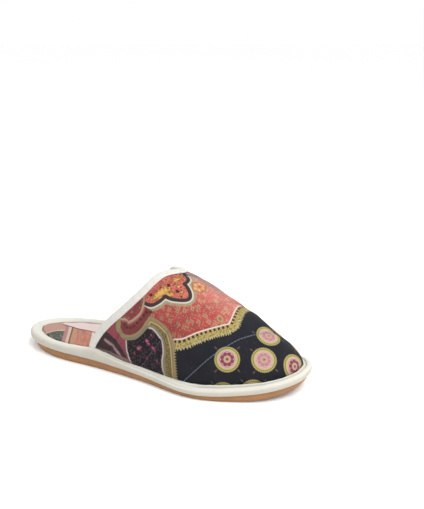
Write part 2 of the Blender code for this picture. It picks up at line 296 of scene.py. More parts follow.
class Finish:
    """One material, whose nodes are added and joined in the order in which they are called.

    A colour is a socket, or red, green and blue from 0 to 255. A value is a socket, a number or,
    where it is compared with an edge, the name of a field of the mesh.
    """

    def __init__(self, name, roughness, sheen=0.0, specular=0.3):
        self.material = bpy.data.materials.new(name)
        self.material.use_nodes = True
        self.tree = self.material.node_tree
        self.shader = self.tree.nodes["Principled BSDF"]
        self.fill(self.shader, {"Roughness": roughness, "Specular IOR Level": specular})
        self.fill(self.shader, {"Sheen Weight": sheen, "Sheen Roughness": 0.5})

    def fill(self, node, values):
        for key, value in values.items():
            if isinstance(value, bpy.types.NodeSocket):
                self.tree.links.new(value, node.inputs[key])
            else:
                node.inputs[key].default_value = value

    def add(self, kind, values=None, output=0, **settings):
        node = self.tree.nodes.new("ShaderNode" + kind)
        for key, value in settings.items():
            setattr(node, key, value)
        self.fill(node, values or {})
        return node.outputs[output]

    def work(self, operation, *values):
        return self.add("Math", dict(enumerate(values)), operation=operation)

    def plus(self, start, value, factor=1.0):
        return self.work("MULTIPLY_ADD", value, factor, start)

    def times(self, first, *others):
        for other in others:
            first = self.work("MULTIPLY", first, other)
        return first

    def wave(self, value, pitch):
        return self.work("SINE", self.times(value, 2.0 * math.pi / pitch))

    def axes(self, vector):
        return tuple(self.add("SeparateXYZ", {0: vector}).node.outputs)

    def in_mm(self, vector):
        return self.add("VectorMath", {0: vector, 3: 1000.0}, operation="SCALE")

    def place(self):
        return self.add("TexCoord", output=3)

    def facing_up(self):
        """From -1 on a face that looks down to 1 on one that looks up."""
        return self.axes(self.add("NewGeometry", output=1))[2]

    def field(self, name):
        return self.add("Attribute", output=2, attribute_name=name)

    def noise(self, place, scale, detail=2.0):
        return self.add("TexNoise", {"Vector": place, "Scale": scale, "Detail": detail})

    def fade(self, value, start, end, before, after):
        """An amount that runs from one number to another while a value passes from start to end."""
        value = self.field(value) if isinstance(value, str) else value
        return self.add("MapRange", {0: value, 1: start, 2: end, 3: before, 4: after})

    def past(self, value, edge, soft):
        """0 before an edge and 1 past it, with a soft step of a given width."""
        return self.fade(value, edge - soft / 2.0, edge + soft / 2.0, 0.0, 1.0)

    def inside(self, value, edge=0.0, soft=0.35):
        """1 before an edge and 0 past it."""
        return self.fade(value, edge - soft / 2.0, edge + soft / 2.0, 1.0, 0.0)

    def between(self, value, low, high, soft):
        return self.times(self.past(value, low, soft), self.inside(value, high, soft))

    def mix(self, amount, under, over, way="MIX"):
        under, over = [linear(*tint) if isinstance(tint, tuple) else tint for tint in (under, over)]
        return self.add("Mix", {0: amount, 6: under, 7: over}, output=2, data_type="RGBA", blend_type=way)

    def lay(self, colour, *layers):
        """Tints laid over a colour in turn, each followed by the amounts that it covers by."""
        for tint, *amounts in layers:
            colour = self.mix(self.times(*amounts), colour, tint)
        return colour

    def colour(self, value):
        self.fill(self.shader, {"Base Color": value})

    def bump(self, height, depth):
        """Relief from a height between 0 and 1, of a depth in metres."""
        made = self.add("Bump", {"Height": height, "Distance": depth, "Strength": 1.0})
        self.fill(self.shader, {"Normal": made})

    def woven(self, x, y, pitch, thread, slub, depth):
        """The relief of a plain weave, with the slubs of its uneven threads."""
        weave = self.plus(0.5, self.times(self.wave(x, pitch), self.wave(y, pitch)), thread)
        self.bump(self.plus(weave, slub, 0.8), depth)


def rubber():
    finish = Finish("tan_rubber", 0.52, specular=0.35)
    place = finish.place()
    x, y, height = finish.axes(place)
    line = finish.plus(x, finish.wave(y, TREAD_SWAY_PITCH), TREAD_SWAY)
    rib = finish.past(finish.wave(line, TREAD_PITCH), 0.0, 0.8)
    rib = finish.times(rib, finish.inside(finish.facing_up(), -0.85, 0.2))
    finish.colour(finish.lay(
        finish.mix(finish.noise(place, 90.0, 3.0), RUBBER_SHADE, RUBBER_TAN),
        # painted shade: darker along the lowest few mm of the rubber and on its underside, by the floor
        (RUBBER_SHADE, finish.inside(height, 0.0015, 0.003), 0.35),
        # painted shade in the tread grooves on the underside
        (RUBBER_GROOVE_SHADE, rib, 0.45),
    ))
    finish.bump(finish.plus(finish.noise(place, 1500.0), rib, -4.0), 0.00012)
    return finish.material


heel = ramp(SHARES, HEEL_RAKE_END, 0.0) ** 1.5
toe = ramp(SHARES, 1.0 - HEEL_RAKE_END, 1.0) ** 1.5
top_inset = OUTSOLE_INSET + (OUTSOLE_HEEL_INSET - OUTSOLE_INSET) * heel
foot_inset = top_inset + OUTSOLE_RAKE * (0.1 + 0.9 * np.maximum(heel, toe))
foot_edge = ring(foot_inset, underside, OUTSOLE_CHAMFER)
top_edge = ring(top_inset, outsole_top, 0.0)
bottom_edge = ring(foot_inset + OUTSOLE_CHAMFER, underside, 0.0)
rows = rings_to_middle(bottom_edge, underside, 0.0, 10)[::-1] + [bottom_edge]
outward = np.column_stack([-INWARD, np.zeros(len(INWARD))])
for up in np.linspace(0.0, 1.0, 7):
    rows.append(foot_edge + (top_edge - foot_edge) * up + outward * OUTSOLE_BULGE * math.sin(math.pi * up))
rows += rings_to_middle(top_edge, outsole_top, 0.0, 10)
outsole = lay_grid("rubber_outsole", rows)
close_seams(outsole)
outsole.data.materials.append(rubber())
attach(outsole, "root")
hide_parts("outsole")


# Footbed
# A board padded with thin foam and covered in the printed cotton, which lies inside the bound
# edge. The foam gives a little under the heel and the ball.
GAP = 0.0003
ROLL_RADIUS = 0.0038
ROLL_WIDTH = 0.0075
ROLL_HEEL_WIDENING = 0.0030
FOOTBED_THICKNESS = 0.0069
FOOTBED_EDGE = 0.0022
HEEL_PRESS = 0.0011
BALL_PRESS = 0.0008
FOOTBED_CROWN = 0.0007
HEEL_PRESS_X = -0.092
HEEL_PRESS_SPREAD = (0.020, 0.018)
BALL_PRESS_X = 0.045
BALL_PRESS_SPREAD = (0.026, 0.028)
FOOTBED_RIPPLE = 0.00022

# The footbed's print, in mm
WEAVE_PITCH = 0.55
DIVIDER_TURN = math.radians(29.3)
DIVIDER_PLACE = -82.7
PANEL_LINE = 4.2
PANEL_LEAN = -0.109
HEEL_PATCH_TIP = -98.4
HEEL_PATCH_ROUND = 1.63

# Bands of the footbed's print on both sides of its slanting divider: from and to in mm, and colour
DIVIDER_BANDS = (
    (3.0, 7.4, (164, 122, 92)),
    (1.8, 3.2, (96, 66, 58)),
    (-0.9, 1.8, (184, 164, 150)),
    (-4.2, -0.9, (156, 108, 106)),
)


def hollow(x, y, middle, spread):
    return np.exp(-((x - middle) / spread[0]) ** 2 - (y / spread[1]) ** 2)


def footbed_top(x, y):
    """Height of the padded top above its flat board line."""
    share = x / SHOE_LENGTH + 0.5
    across = np.abs(y + SIDE_SHIFT - centre_line(share)) / np.maximum(half_width(share), 0.001)
    crown = FOOTBED_CROWN * np.clip(1.0 - across ** 3, 0.0, 1.0)
    heel = HEEL_PRESS * hollow(x, y, HEEL_PRESS_X, HEEL_PRESS_SPREAD)
    ball = BALL_PRESS * hollow(x, y, BALL_PRESS_X, BALL_PRESS_SPREAD)
    ripple = FOOTBED_RIPPLE * np.sin(x * 310.0 + y * 140.0) * np.sin(y * 210.0 + 1.0)
    return crown - heel - ball + ripple


def footbed_cotton():
    """Pieces of printed border sewn slantwise over the heel, in mm from their divider and sideways, with a
    painted shadow along the far edge.
    """
    finish = Finish("printed_footbed_cotton", 0.88, sheen=0.10, specular=0.15)
    place = finish.in_mm(finish.place())
    x, y, _ = finish.axes(place)
    grain = finish.noise(place, 0.7, 3.0)
    ahead = finish.plus(finish.times(y, math.sin(DIVIDER_TURN)), x, math.cos(DIVIDER_TURN))
    ahead = finish.plus(finish.plus(-DIVIDER_PLACE - 0.4, ahead), grain, 0.8)
    along = finish.plus(finish.times(y, math.cos(DIVIDER_TURN)), x, -math.sin(DIVIDER_TURN))
    beside = finish.plus(finish.plus(-PANEL_LINE - 69.0 * PANEL_LEAN, y), x, -PANEL_LEAN)
    rim = finish.work("MAXIMUM", finish.plus(HEEL_PATCH_TIP, x, -1.0), 0.0)
    rim = finish.plus(finish.plus(2.4, y), finish.work("POWER", rim, HEEL_PATCH_ROUND), 0.24)
    brushed = finish.add("CombineXYZ", {0: ahead, 1: finish.times(along, 0.2)})
    streaks = finish.past(finish.noise(brushed, 0.30, 3.0), 0.5, 0.3)
    coral = finish.lay(
        finish.mix(streaks, (150, 92, 82), (172, 122, 98)),
        ((136, 78, 74), finish.past(grain, 0.58, 0.1), 0.6),
    )
    ground = finish.lay(
        finish.mix(grain, (186, 172, 160), (214, 202, 192)),
        ((184, 132, 122), finish.past(finish.noise(place, 0.16), 0.56, 0.05), 0.45),
    )
    patch = finish.lay(
        finish.mix(finish.past(grain, 0.5, 0.2), (46, 52, 46), (78, 84, 74)),
        ((128, 116, 106), finish.past(finish.noise(place, 0.4), 0.58, 0.05), 0.5),
    )
    heel = finish.lay(
        finish.mix(finish.past(rim, 0.0, 0.7), patch, finish.mix(grain, (142, 106, 96), (170, 138, 124))),
        ((196, 182, 166), finish.between(rim, 0.0, 1.5, 0.6)),
    )
    colour = finish.mix(finish.past(ahead, 21.5, 0.7), coral, ground)
    colour = finish.mix(finish.past(ahead, -4.2, 0.6), heel, colour)
    for low, high, tint in DIVIDER_BANDS:
        worn = finish.mix(finish.times(grain, 0.25), tint, (90, 60, 54))
        colour = finish.mix(finish.between(ahead, low, high, 0.5), colour, worn)
    panel = finish.mix(grain, (178, 158, 154), (206, 190, 186))
    finish.colour(finish.lay(
        colour,
        (panel, finish.past(beside, 0.6, 0.5), finish.past(x, -109.0, 2.0)),
        ((96, 68, 62), finish.between(x, -108.0, -66.0, 1.0), finish.between(beside, -0.9, 0.7, 0.4)),
        # painted shadow: a thin dark line along the footbed's far edge, where it meets the roll
        ((104, 78, 80), finish.inside("from_edge", 1.7, 1.0), 0.75, finish.past(y, 8.0, 8.0)),
    ))
    finish.woven(x, y, WEAVE_PITCH, 0.2, finish.noise(place, 0.35, 3.0), 0.00014)
    return finish.material


roll_width = ROLL_WIDTH + ROLL_HEEL_WIDENING * (1.0 - ramp(SHARES, 0.02, 0.15))
inset = roll_width + GAP
top = GAP + FOOTBED_THICKNESS
low_edge = ring(inset, outsole_top, GAP)
rows = rings_to_middle(low_edge, outsole_top, GAP, 4)[::-1] + [low_edge]
for turn in np.radians(np.linspace(0.0, 90.0, 6)):
    rows.append(ring(
        inset + FOOTBED_EDGE * (1.0 - math.cos(turn)),
        outsole_top,
        top - FOOTBED_EDGE * (1.0 - math.sin(turn)),
    ))
rows += rings_to_middle(rows[-1], outsole_top, top, 26)
rows = np.array(rows)
upward = rows[..., 2] - outsole_top(rows[..., 0] / SHOE_LENGTH + 0.5) > top - 0.0004
rows[..., 2] += np.where(upward, footbed_top(rows[..., 0], rows[..., 1]), 0.0)
footbed = lay_grid("padded_footbed", rows)
set_field(footbed, "from_edge", np.linalg.norm((rows - rows[9])[..., :2], axis=-1) * 1000.0)
close_seams(footbed)
footbed.data.materials.append(footbed_cotton())
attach(footbed, "root")
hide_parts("footbed")


# Sole binding
# A cream cotton tape round a cord of wadding, sewn to the edge of the sole. At the waist the
# upper presses it flatter, and round the toes its free edge runs up the upper as a flat seam.
STRIP_CREASE = 0.0010
ROLL_PRESS = 0.0010
ROLL_FLATNESS = 0.74
ROLL_LIFT = 0.0001
ROLL_GROOVE = 0.0009
ROLL_GROOVE_TURN = 44.0
ROLL_GROOVE_WIDTH = 9.0
ROLL_PUCKER = 0.00022
FINE_PUCKER = 0.00008
ROLL_TUCK = 0.0006
TAPE_WEAVE_PITCH = 0.00065

# Shares of the length: where the flat seam begins, and where the upper presses and holds the roll
STRIP_START = 0.62
STRIP_END = 0.72
PRESSED = (0.26, 0.32, 0.38, 0.46)
HELD = (0.34, 0.40, 0.66, 0.74)

# Along the sole, the height in mm of the padded roll above the outsole
ROLL_CREST = (
    (0.00, 8.8), (0.18, 8.8), (0.26, 9.6), (0.33, 11.3), (0.36, 10.2), (0.41, 8.7), (0.44, 7.9), (0.48, 7.4),
    (0.54, 6.7), (0.60, 6.3), (0.68, 5.9), (0.76, 6.3), (0.84, 6.5), (0.92, 6.6), (1.00, 6.8),
)

# Along the sole, the height in mm of the flat seam on the upper
ROLL_STRIP = (
    (0.00, 8.0), (0.36, 8.0), (0.41, 7.6), (0.44, 7.4), (0.48, 7.2), (0.54, 6.7), (0.60, 6.2), (0.68, 6.0),
    (0.76, 7.6), (0.84, 7.6), (0.92, 7.3), (1.00, 7.4),
)


def cream_cotton(name, shade, light, crown):
    """Cream tape with painted top light: its parts that look up are tinted towards the crown colour, a
    little lighter and cooler than its sides.
    """
    finish = Finish(name, 0.88, sheen=0.10, specular=0.15)
    place = finish.place()
    finish.colour(finish.lay(
        finish.mix(finish.noise(place, 70.0, 3.0), shade, light),
        # crown: painted top light on the faces that look up
        (crown, finish.fade(finish.facing_up(), 0.3, 1.0, 0.0, 0.8)),
    ))
    around, over, _ = finish.axes(finish.add("UVMap"))
    finish.woven(around, over, TAPE_WEAVE_PITCH, 0.25, finish.noise(place, 400.0), 0.00010)
    return finish.material


def roll_profile():
    """Insets and heights of the roll's rows, from its foot round the outside to its inner edge."""
    crest = read_table(ROLL_CREST, SHARES) / 1000.0
    strip = read_table(ROLL_STRIP, SHARES) / 1000.0
    inner = GAP + FOOTBED_THICKNESS - ROLL_TUCK
    flat = ramp(SHARES, STRIP_START, STRIP_END)
    profile = [(roll_width, np.zeros(len(SHARES)))]
    radius = ROLL_RADIUS - ROLL_PRESS * plateau(SHARES, *PRESSED)
    held = plateau(SHARES, *HELD)
    for turn in np.radians(np.linspace(-90.0, 90.0, 37)):
        groove = ROLL_GROOVE * math.exp(-((math.degrees(turn) - ROLL_GROOVE_TURN) / ROLL_GROOVE_WIDTH) ** 2)
        power = 1.0 if turn > 0.0 else ROLL_FLATNESS
        inset = radius * (1.0 - math.cos(turn) ** power) + groove * held
        profile.append((inset, crest * (1.0 + math.copysign(abs(math.sin(turn)) ** power, turn)) / 2.0))
    for u in np.linspace(0.0, 1.0, 19)[1:]:
        plain = crest + (inner - crest) * u ** 1.5
        crease = STRIP_CREASE * math.exp(-((u - 0.34) / 0.14) ** 2)
        climb = ease(float(ramp(u, 0.40, 0.74)))
        drop = float(ramp(u, 0.84, 1.0)) ** 2
        seam = (crest - crease) + (strip - crest) * climb + (inner - strip) * drop
        inset = radius + (roll_width - radius) * u
        profile.append((inset, plain * (1.0 - flat) + seam * flat))
    profile.append((roll_width, np.zeros(len(SHARES))))
    return profile


def roll_puckers(around, over):
    """Small dents that the stitching draws into the roll."""
    turns = around * 2.0 * math.pi
    wave = np.sin(turns / 0.0117) * np.sin(turns / 0.0371 + 1.3)
    return ROLL_PUCKER * wave + FINE_PUCKER * np.sin(turns / 0.0053 + 2.0 * over)


rows = []
cloth = []
travel = np.zeros(len(SHARES))
last_row = None
for inset, rise in roll_profile():
    row = ring(inset, outsole_top, ROLL_LIFT + rise)
    if last_row is not None:
        travel = travel + np.linalg.norm(row - last_row, axis=1)
    last_row = row
    soft = np.clip(rise / 0.0046, 0.0, 1.0) * roll_puckers(AROUND, travel * 600.0)
    rows.append(row + outward * soft[:, None])
    cloth.append(np.column_stack([AROUND, travel]))
sole_binding = lay_grid("bound_sole_edge", rows, cloth)
close_seams(sole_binding)
# The last colour is the painted top light on the tape's upward faces.
sole_binding.data.materials.append(cream_cotton(
    "cream_sole_tape", (166, 161, 149), (186, 182, 171), (202, 200, 192)))
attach(sole_binding, "root")
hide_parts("sole_binding")


# Upper
# One quilted wall of printed cotton, thin wadding and a plain lining, cut in one piece over the
# toes and sewn down all round under the tape. Rows of machine quilting run slantwise over it.
INSTEP_HEIGHT = 0.0775
RIDGE_SWING = 0.0092
UPPER_WALL = 0.0030
SPRING_LINE = 0.0077
SIDE_INSET = 0.0027
TOE_INSET = 0.0085
COLLAR_FOOT = 0.312
THROAT = 0.566
THROAT_LEAN = 0.06
FAR_SHOULDER = 0.30
FOOT_TUCK = 0.0017
TOE_CAP = 0.80
UPPER_TOE = 0.970
TOE_DROP = 1.33
COLLAR_END = 0.985
TUCK = 0.0012
UPPER_STEPS = 300
UPPER_ROWS = 128
TUCK_ROWS = 5

# Quilting, in mm: lean of its lines, their places, width and depth, and its stitches
QUILT_LEAN = 0.63
QUILT_START = 24.5
QUILT_STEP = 37.0
QUILT_DEPTH = 0.9
QUILT_WIDTH = 1.7
QUILT_PUFF = 0.5
QUILT_PUFF_WIDTH = 6.0
QUILT_STITCH = 3.4
WALL_WAVE = 0.25

# Where the relief fades out at the collar and the foot, in shares of the way up the wall
COLLAR_FADE = 0.06
FOOT_FADE = 0.05
CREASE_FADE = 0.02

# Sections of the last along the shoe: height of the ridge as a share of the instep height
LAST_HEIGHT = (
    (0.00, 0.960), (0.36, 0.965), (0.48, 0.968), (0.60, 0.892), (0.72, 0.678), (0.84, 0.457), (1.00, 0.343),
)

# Their fullness, from 1.8 for a tent-like section to 2.4 for a rounder, squarer one
LAST_FULLNESS = (
    (0.00, 2.45), (0.36, 2.45), (0.48, 2.42), (0.60, 2.15), (0.72, 1.95), (0.84, 1.79), (1.00, 1.77),
)

# Line of the collar from the ridge, 0, to the sole, 1: its reach is 1 at the throat and 0 at the foot
COLLAR = (
    (0.00, 1.000), (0.20, 0.854), (0.45, 0.702), (0.65, 0.488), (0.80, 0.260), (0.90, 0.110), (1.00, 0.000),
)

# Along the shoe, the height in mm above the outsole at which the print meets the tape
SEAM = (
    (0.30, 8.0), (0.42, 8.0), (0.48, 6.9), (0.56, 6.2), (0.66, 5.5), (0.72, 6.6), (0.80, 8.0), (1.00, 8.0),
)


def seam_inset(share):
    tucked = FOOT_TUCK * (1.0 - ramp(share, 0.32, 0.42))
    return SIDE_INSET + (TOE_INSET - SIDE_INSET) * ramp(share, 0.45, 0.70) + tucked


def last_surface(share, across, drop=0.0):
    """Outer face of the upper: across is -1 and 1 at the sole's two sides and 0 on the ridge."""
    share, across = np.broadcast_arrays(np.asarray(share, float), np.asarray(across, float))
    turn = ramp(share, TOE_CAP, UPPER_TOE)
    drawn_out = TOE_CAP + (1.0 - TOE_CAP) * turn
    width = half_width(np.where(share > TOE_CAP, drawn_out, share))
    width = np.maximum(width - seam_inset(share) * np.sqrt(1.0 - turn ** 2), 0.0)
    height = INSTEP_HEIGHT * read_table(LAST_HEIGHT, share)
    height = height * np.sqrt(np.clip(1.0 - turn ** TOE_DROP, 0.0, 1.0))
    slack = FAR_SHOULDER * ease(ramp(across, 0.0, 0.32)) * (1.0 - ramp(share, 0.52, 0.64))
    power = 2.0 / (read_table(LAST_FULLNESS, share) - slack)
    angle = across * math.pi / 2.0
    side = np.sign(across) * np.abs(np.sin(angle)) ** power
    rise = np.clip(np.cos(angle), 0.0, 1.0) ** power
    swing = np.interp(share, [0.40, TOE_CAP, UPPER_TOE], [0.26 * RIDGE_SWING, RIDGE_SWING, 0.0])
    spring_line = outsole_top(share) + GAP + SPRING_LINE
    return np.stack([
        place_x(share),
        centre_line(share) - SIDE_SHIFT + width * side + swing * rise ** 2,
        spring_line + height * rise - drop,
    ], axis=-1)


def collar_share(across):
    across = np.asarray(across, float)
    leant = np.abs(across - THROAT_LEAN * np.exp(-(across / 0.24) ** 2))
    return COLLAR_FOOT + (THROAT - COLLAR_FOOT) * read_table(COLLAR, leant)


def upper_grid(steps, rows):
    """Shares and places across for lines that fan from the sole's edge to the collar.

    The lines are laid on a half cylinder with a quarter ball at its toe end, which has no
    pinched corner, and are carried from there to the last.
    """
    cap = UPPER_TOE - TOE_CAP
    back = (collar_share(COLLAR_END) - TOE_CAP) / cap
    travel = np.linspace(0.0, 2.0 * -back + math.pi, steps + 1)
    straight = np.minimum(travel, -back) + back - np.maximum(travel + back - math.pi, 0.0)
    azimuth = np.clip(travel + back, 0.0, math.pi)
    foot = np.column_stack([straight + np.sin(azimuth), -np.cos(azimuth), np.zeros(steps + 1)])
    across = np.linspace(-COLLAR_END, COLLAR_END, steps + 1)
    turn = across * math.pi / 2.0
    collar = np.column_stack([(collar_share(across) - TOE_CAP) / cap, np.sin(turn), np.cos(turn)])
    blend = np.linspace(0.0, 1.0, rows + 1)[None, :, None]
    chord = foot[:, None, :] + (collar - foot)[:, None, :] * blend
    ball = np.where(chord[..., 0] > 0.0, chord[..., 0], 0.0)
    radius = np.sqrt(ball ** 2 + chord[..., 1] ** 2 + chord[..., 2] ** 2)
    forward = np.where(chord[..., 0] > 0.0, chord[..., 0] / radius, chord[..., 0])
    return TOE_CAP + cap * forward, np.arctan2(chord[..., 1], chord[..., 2]) / (math.pi / 2.0)


def last_frame(share, across):
    """Point of the last with its outward normal and the steps per unit of share and across."""
    small = 1e-4
    along = (last_surface(share + small, across) - last_surface(share - small, across)) / (2 * small)
    over = (last_surface(share, across + small) - last_surface(share, across - small)) / (2 * small)
    normal = np.cross(over, along)
    normal = -normal / np.linalg.norm(normal, axis=-1, keepdims=True)
    return last_surface(share, across), normal, along, over


# Main creases, each a soft trough or ridge: points on the chart, rise in mm and half width in mm
CREASES = (
    (((66, -25), (74, -23), (84, -19)), 0.5, 2.6),
    (((109, -24), (112, -30), (112, -38)), -0.7, 2.2),
    (((104, -36), (103, -44)), 0.4, 2.4),
    (((90, -56), (88, -66), (88, -70)), -0.6, 2.6),
    (((66, -70), (67, -78), (66, -84)), -0.6, 2.6),
    (((46, -78), (45, -88)), 0.4, 2.8),
    (((28, -82), (30, -92)), -0.6, 2.6),
    (((4, -80), (6, -90)), -0.5, 2.8),
    (((-18, -74), (-17, -84)), -0.5, 2.6),
    (((-34, -72), (-32, -80)), 0.4, 2.6),
    (((14, -36), (24, -38), (34, -36)), -0.4, 3.0),
    (((-2, -50), (8, -54), (20, -53)), -0.5, 2.8),
    (((30, -6), (40, -8), (52, -6)), 0.35, 3.2),
    (((20, 22), (32, 26), (44, 25)), -0.5, 3.0),
    (((2, 46), (14, 50), (24, 50)), -0.5, 2.8),
    (((92, 52), (90, 62), (90, 68)), -0.6, 2.6),
    (((60, 74), (61, 84)), -0.6, 2.6),
    (((20, 84), (22, 93)), -0.5, 2.8),
    (((-24, 72), (-22, 82)), -0.5, 2.6),
    (((112, 20), (115, 28)), -0.5, 2.2),
)

# The cloth's chart: mm along the shoe, and mm down from the ridge, less than 0 on the near side
CHART_ROWS = 240
CHART_HALF = 160
CHART_SHARES = np.linspace(COLLAR_FOOT - 0.03, UPPER_TOE, CHART_ROWS)
CHART_ACROSS = np.linspace(-1.0, 1.0, 2 * CHART_HALF + 1)
sections = last_surface(CHART_SHARES[:, None], CHART_ACROSS[None, :])
lengths = np.linalg.norm(np.diff(sections[..., 1:], axis=1), axis=2)
lengths = np.concatenate([np.zeros((len(CHART_SHARES), 1)), np.cumsum(lengths, axis=1)], axis=1)
ARC = (lengths - lengths[:, [CHART_HALF]]) * 1000.0


def arc_at(share, across):
    """Mm down from the ridge for places on the last."""
    row = np.clip(np.interp(share, CHART_SHARES, np.arange(CHART_ROWS)), 0.0, CHART_ROWS - 1.001)
    column = np.clip((across + 1.0) * CHART_HALF, 0.0, 2 * CHART_HALF - 0.001)
    i = row.astype(int)
    j = column.astype(int)
    u = row - i
    v = column - j
    near = ARC[i, j] * (1.0 - v) + ARC[i, j + 1] * v
    far = ARC[i + 1, j] * (1.0 - v) + ARC[i + 1, j + 1] * v
    return near * (1.0 - u) + far * u


def on_last(chart):
    """Points of the last for places on the chart."""
    spots = []
    for x, arc in np.asarray(chart, float):
        share = min(max(x / 1000.0 / SHOE_LENGTH + 0.5, CHART_SHARES[0]), UPPER_TOE)
        row = int(np.interp(share, CHART_SHARES, np.arange(CHART_ROWS)))
        across = float(np.interp(arc, ARC[row], CHART_ACROSS))
        beyond = max(abs(arc) - abs(float(ARC[row][-1] if arc > 0 else ARC[row][0])), 0.0) / 1000.0
        spots.append(last_surface(share, across, beyond))
    return np.array(spots)


def quilting(x, arc):
    """Mm from the nearest quilting line, signed."""
    line = (x - QUILT_LEAN * arc - QUILT_START) / QUILT_STEP
    return (line - np.round(line)) * QUILT_STEP / math.hypot(1.0, QUILT_LEAN)


def crease_relief(points):
    """Rise of the listed creases at points of the upper, in mm."""
    rise = np.zeros(len(points))
    for stroke, height, width in CREASES:
        off = mm_from_strokes(points, (stroke,), (1.0,))[0]
        rise += height * np.exp(-(off / width) ** 2)
    return rise


def relief(x, arc, row):
    """Rise of the quilted face above the plain last, in mm."""
    off = np.abs(quilting(x, arc))
    trough = -QUILT_DEPTH * np.exp(-(off / QUILT_WIDTH) ** 2)
    puff = QUILT_PUFF * (1.0 - np.exp(-(off / QUILT_PUFF_WIDTH) ** 2))
    soft = WALL_WAVE * np.sin(x * 0.23 + arc * 0.11) * np.sin(arc * 0.19 - x * 0.07)
    return (trough + puff + soft) * ramp(1.0 - row, 0.0, COLLAR_FADE) * ramp(row, 0.0, FOOT_FADE)


# The print, charted in mm: along the shoe, and down from the ridge. It is one half of the
# cloth, and the far side repeats it. Each outline is drawn in strokes that meet at its corners.
WAIST_LINE = ((-12, 75), (-11.5, 82), (-10, 87), (-7, 96))
OUTLINES = {
    "panel": (
        ((32, 59), (40, 54), (50, 43), (60, 32.5), (66, 26), (69.5, 22)),
        ((69.5, 22), (69.3, 15), (68.8, 8), (68.3, 0)),
    ),
    "arched": (
        ((1, 41), (8, 41), (13, 37.5), (17, 32), (17.6, 30)),
        ((17.6, 30), (24, 30), (31, 28), (35.4, 25), (36.8, 21.5), (35, 17.5), (31, 14), (28, 12.5)),
        ((28, 12.5), (29.4, 9), (28, 5), (22, 0)),
    ),
    "leaf": (
        ((-19, 57), (-14, 57), (-10.5, 59)),
        ((-10.5, 59), (-8, 57.5), (-4, 54.5), (0, 49), (1.2, 44), (0, 36), (-3, 33)),
    ),
    "body": (
        (
            (-18.5, 58), (-17.6, 61), (-18, 65), (-14, 69), (-8, 69),
            (-2, 66), (3, 60), (6, 54), (8.5, 49), (11, 45),
        ),
        ((11, 45), (1.5, 43)),
        ((1.5, 43), (1.2, 44), (0, 49), (-4, 54.5), (-10.5, 59)),
        ((-10.5, 59), (-14, 57), (-18.5, 58)),
    ),
    "border": (
        ((38, 96), (37, 84), (36, 75), (34.6, 66), (32, 60), (28, 55), (20, 51), (8.5, 49.5)),
        ((8.5, 49.5), (6, 54), (3, 60), (-2, 66), (-8, 69), (-14, 69), (-18, 65), (-17.6, 61), (-18.5, 58)),
        ((-18.5, 58), (-21, 58), (-22.6, 62), (-22, 67), (-18, 72), (-12, 74.5)),
        WAIST_LINE,
    ),
    "patch": (
        ((26, 96), (24, 87), (23.5, 80), (24.2, 73), (22.5, 66)),
        ((22.5, 66), (18, 61.5), (13, 58.6), (9.4, 58.8)),
        ((9.4, 58.8), (7, 61), (3, 66.5), (-3, 72), (-12, 74.5)),
        WAIST_LINE,
    ),
    "strip": (
        ((-60, 60), (-38, 68), (-30, 71), (-23, 76), (-17, 82), (-12.5, 88), (-8, 96)),
    ),
}

# Points that close an outline off the print, and the outlines measured along too
CLOSING = {
    "panel": ((-70, 0), (-70, 100), (28, 70)),
    "arched": ((-70, 0), (-70, 34), (0, 36)),
    "leaf": ((-70, 30), (-70, 57)),
    "strip": ((0, 96), (0, 50), (-60, 50)),
}
MEASURED_ALONG = ("panel", "border")

# Single lines
LINES = {
    "pale_line": (
        ((26, 96), (24, 87), (23.5, 80), (24.2, 73), (22.5, 66), (18, 61.5), (13, 58.6), (9.4, 58.8)),
        WAIST_LINE,
    ),
    "streak": (
        ((-34, 77), (-28, 80.5), (-21, 86), (-16, 92)),
    ),
}

# Small painted spots: mm along the shoe, mm down from the ridge, and radius
SPOT_FLOW = 1.5
SPOTS = {
    "gold_petal": (
        (8, 36.4, 0.6), (10, 34.6, 0.9), (11, 32, 1.5), (12.6, 29.5, 2.0), (14.6, 27, 2.3),
        (17, 25, 1.8), (14.5, 32.5, 1.1), (16.4, 29.4, 1.3), (20.6, 13, 1.6), (19.2, 11.2, 1.3),
        (22, 9.8, 1.2), (23, 6.5, 0.9), (22.6, 26, 1.3), (20.6, 27.4, 1.0), (19, 22.5, 0.9),
        (29.5, 21, 0.9), (25, 17.5, 0.9), (14, 22, 0.8),
    ),
    "dark_seed": (
        (6, 33, 1.5), (17.5, 20, 1.5), (26, 22, 1.6), (12, 24.5, 0.8), (21.6, 16.6, 0.8), (30.5, 25, 0.9),
        (-14.5, 61.5, 1.1), (-11.5, 63.4, 1.2), (-8, 63.2, 1.2), (-4.8, 61.2, 1.2), (-2, 58, 1.3),
        (0.6, 54.4, 1.3), (3, 50.6, 1.4), (5.4, 47.4, 1.5), (9, 46.4, 1.3),
    ),
    "pink_flower": (
        (8, 70, 1.6), (9.6, 72, 1.2), (0, 79, 1.6), (2, 77.4, 1.1), (13.4, 74.4, 1.5), (15.6, 75.8, 1.1),
        (-4, 84, 0.9), (18.6, 83, 1.0), (7, 86, 1.0), (12, 64, 0.9),
    ),
    "khaki_rosette": (
        (62.6, 22.6, 2.8), (45, 27, 1.1), (54, 9, 1.2), (24, 43, 1.2), (42, 44, 1.1), (47, 17, 1.0),
    ),
}

# A flower that only the near side has
ORANGE_PETALS = (
    (37, -11.5, 1.7), (35.6, -8, 1.8), (37.2, -4.2, 1.8),
    (40.2, -3.2, 1.6), (41.6, -6.8, 1.6), (40, -10.6, 1.7),
)

# Round flowers on the dark ground, of one size: mm along the shoe and mm over from the ridge
ROUNDELS = (
    (76, -76.8), (76.5, -48.5), (98, -57.5), (102.6, -27.6), (99, -5.8), (123.6, -11),
    (76, 75), (76.5, 49), (98, 58), (101.5, 37), (97, 18), (118.5, 16.5),
)
SPRIG_OUT = 8.9


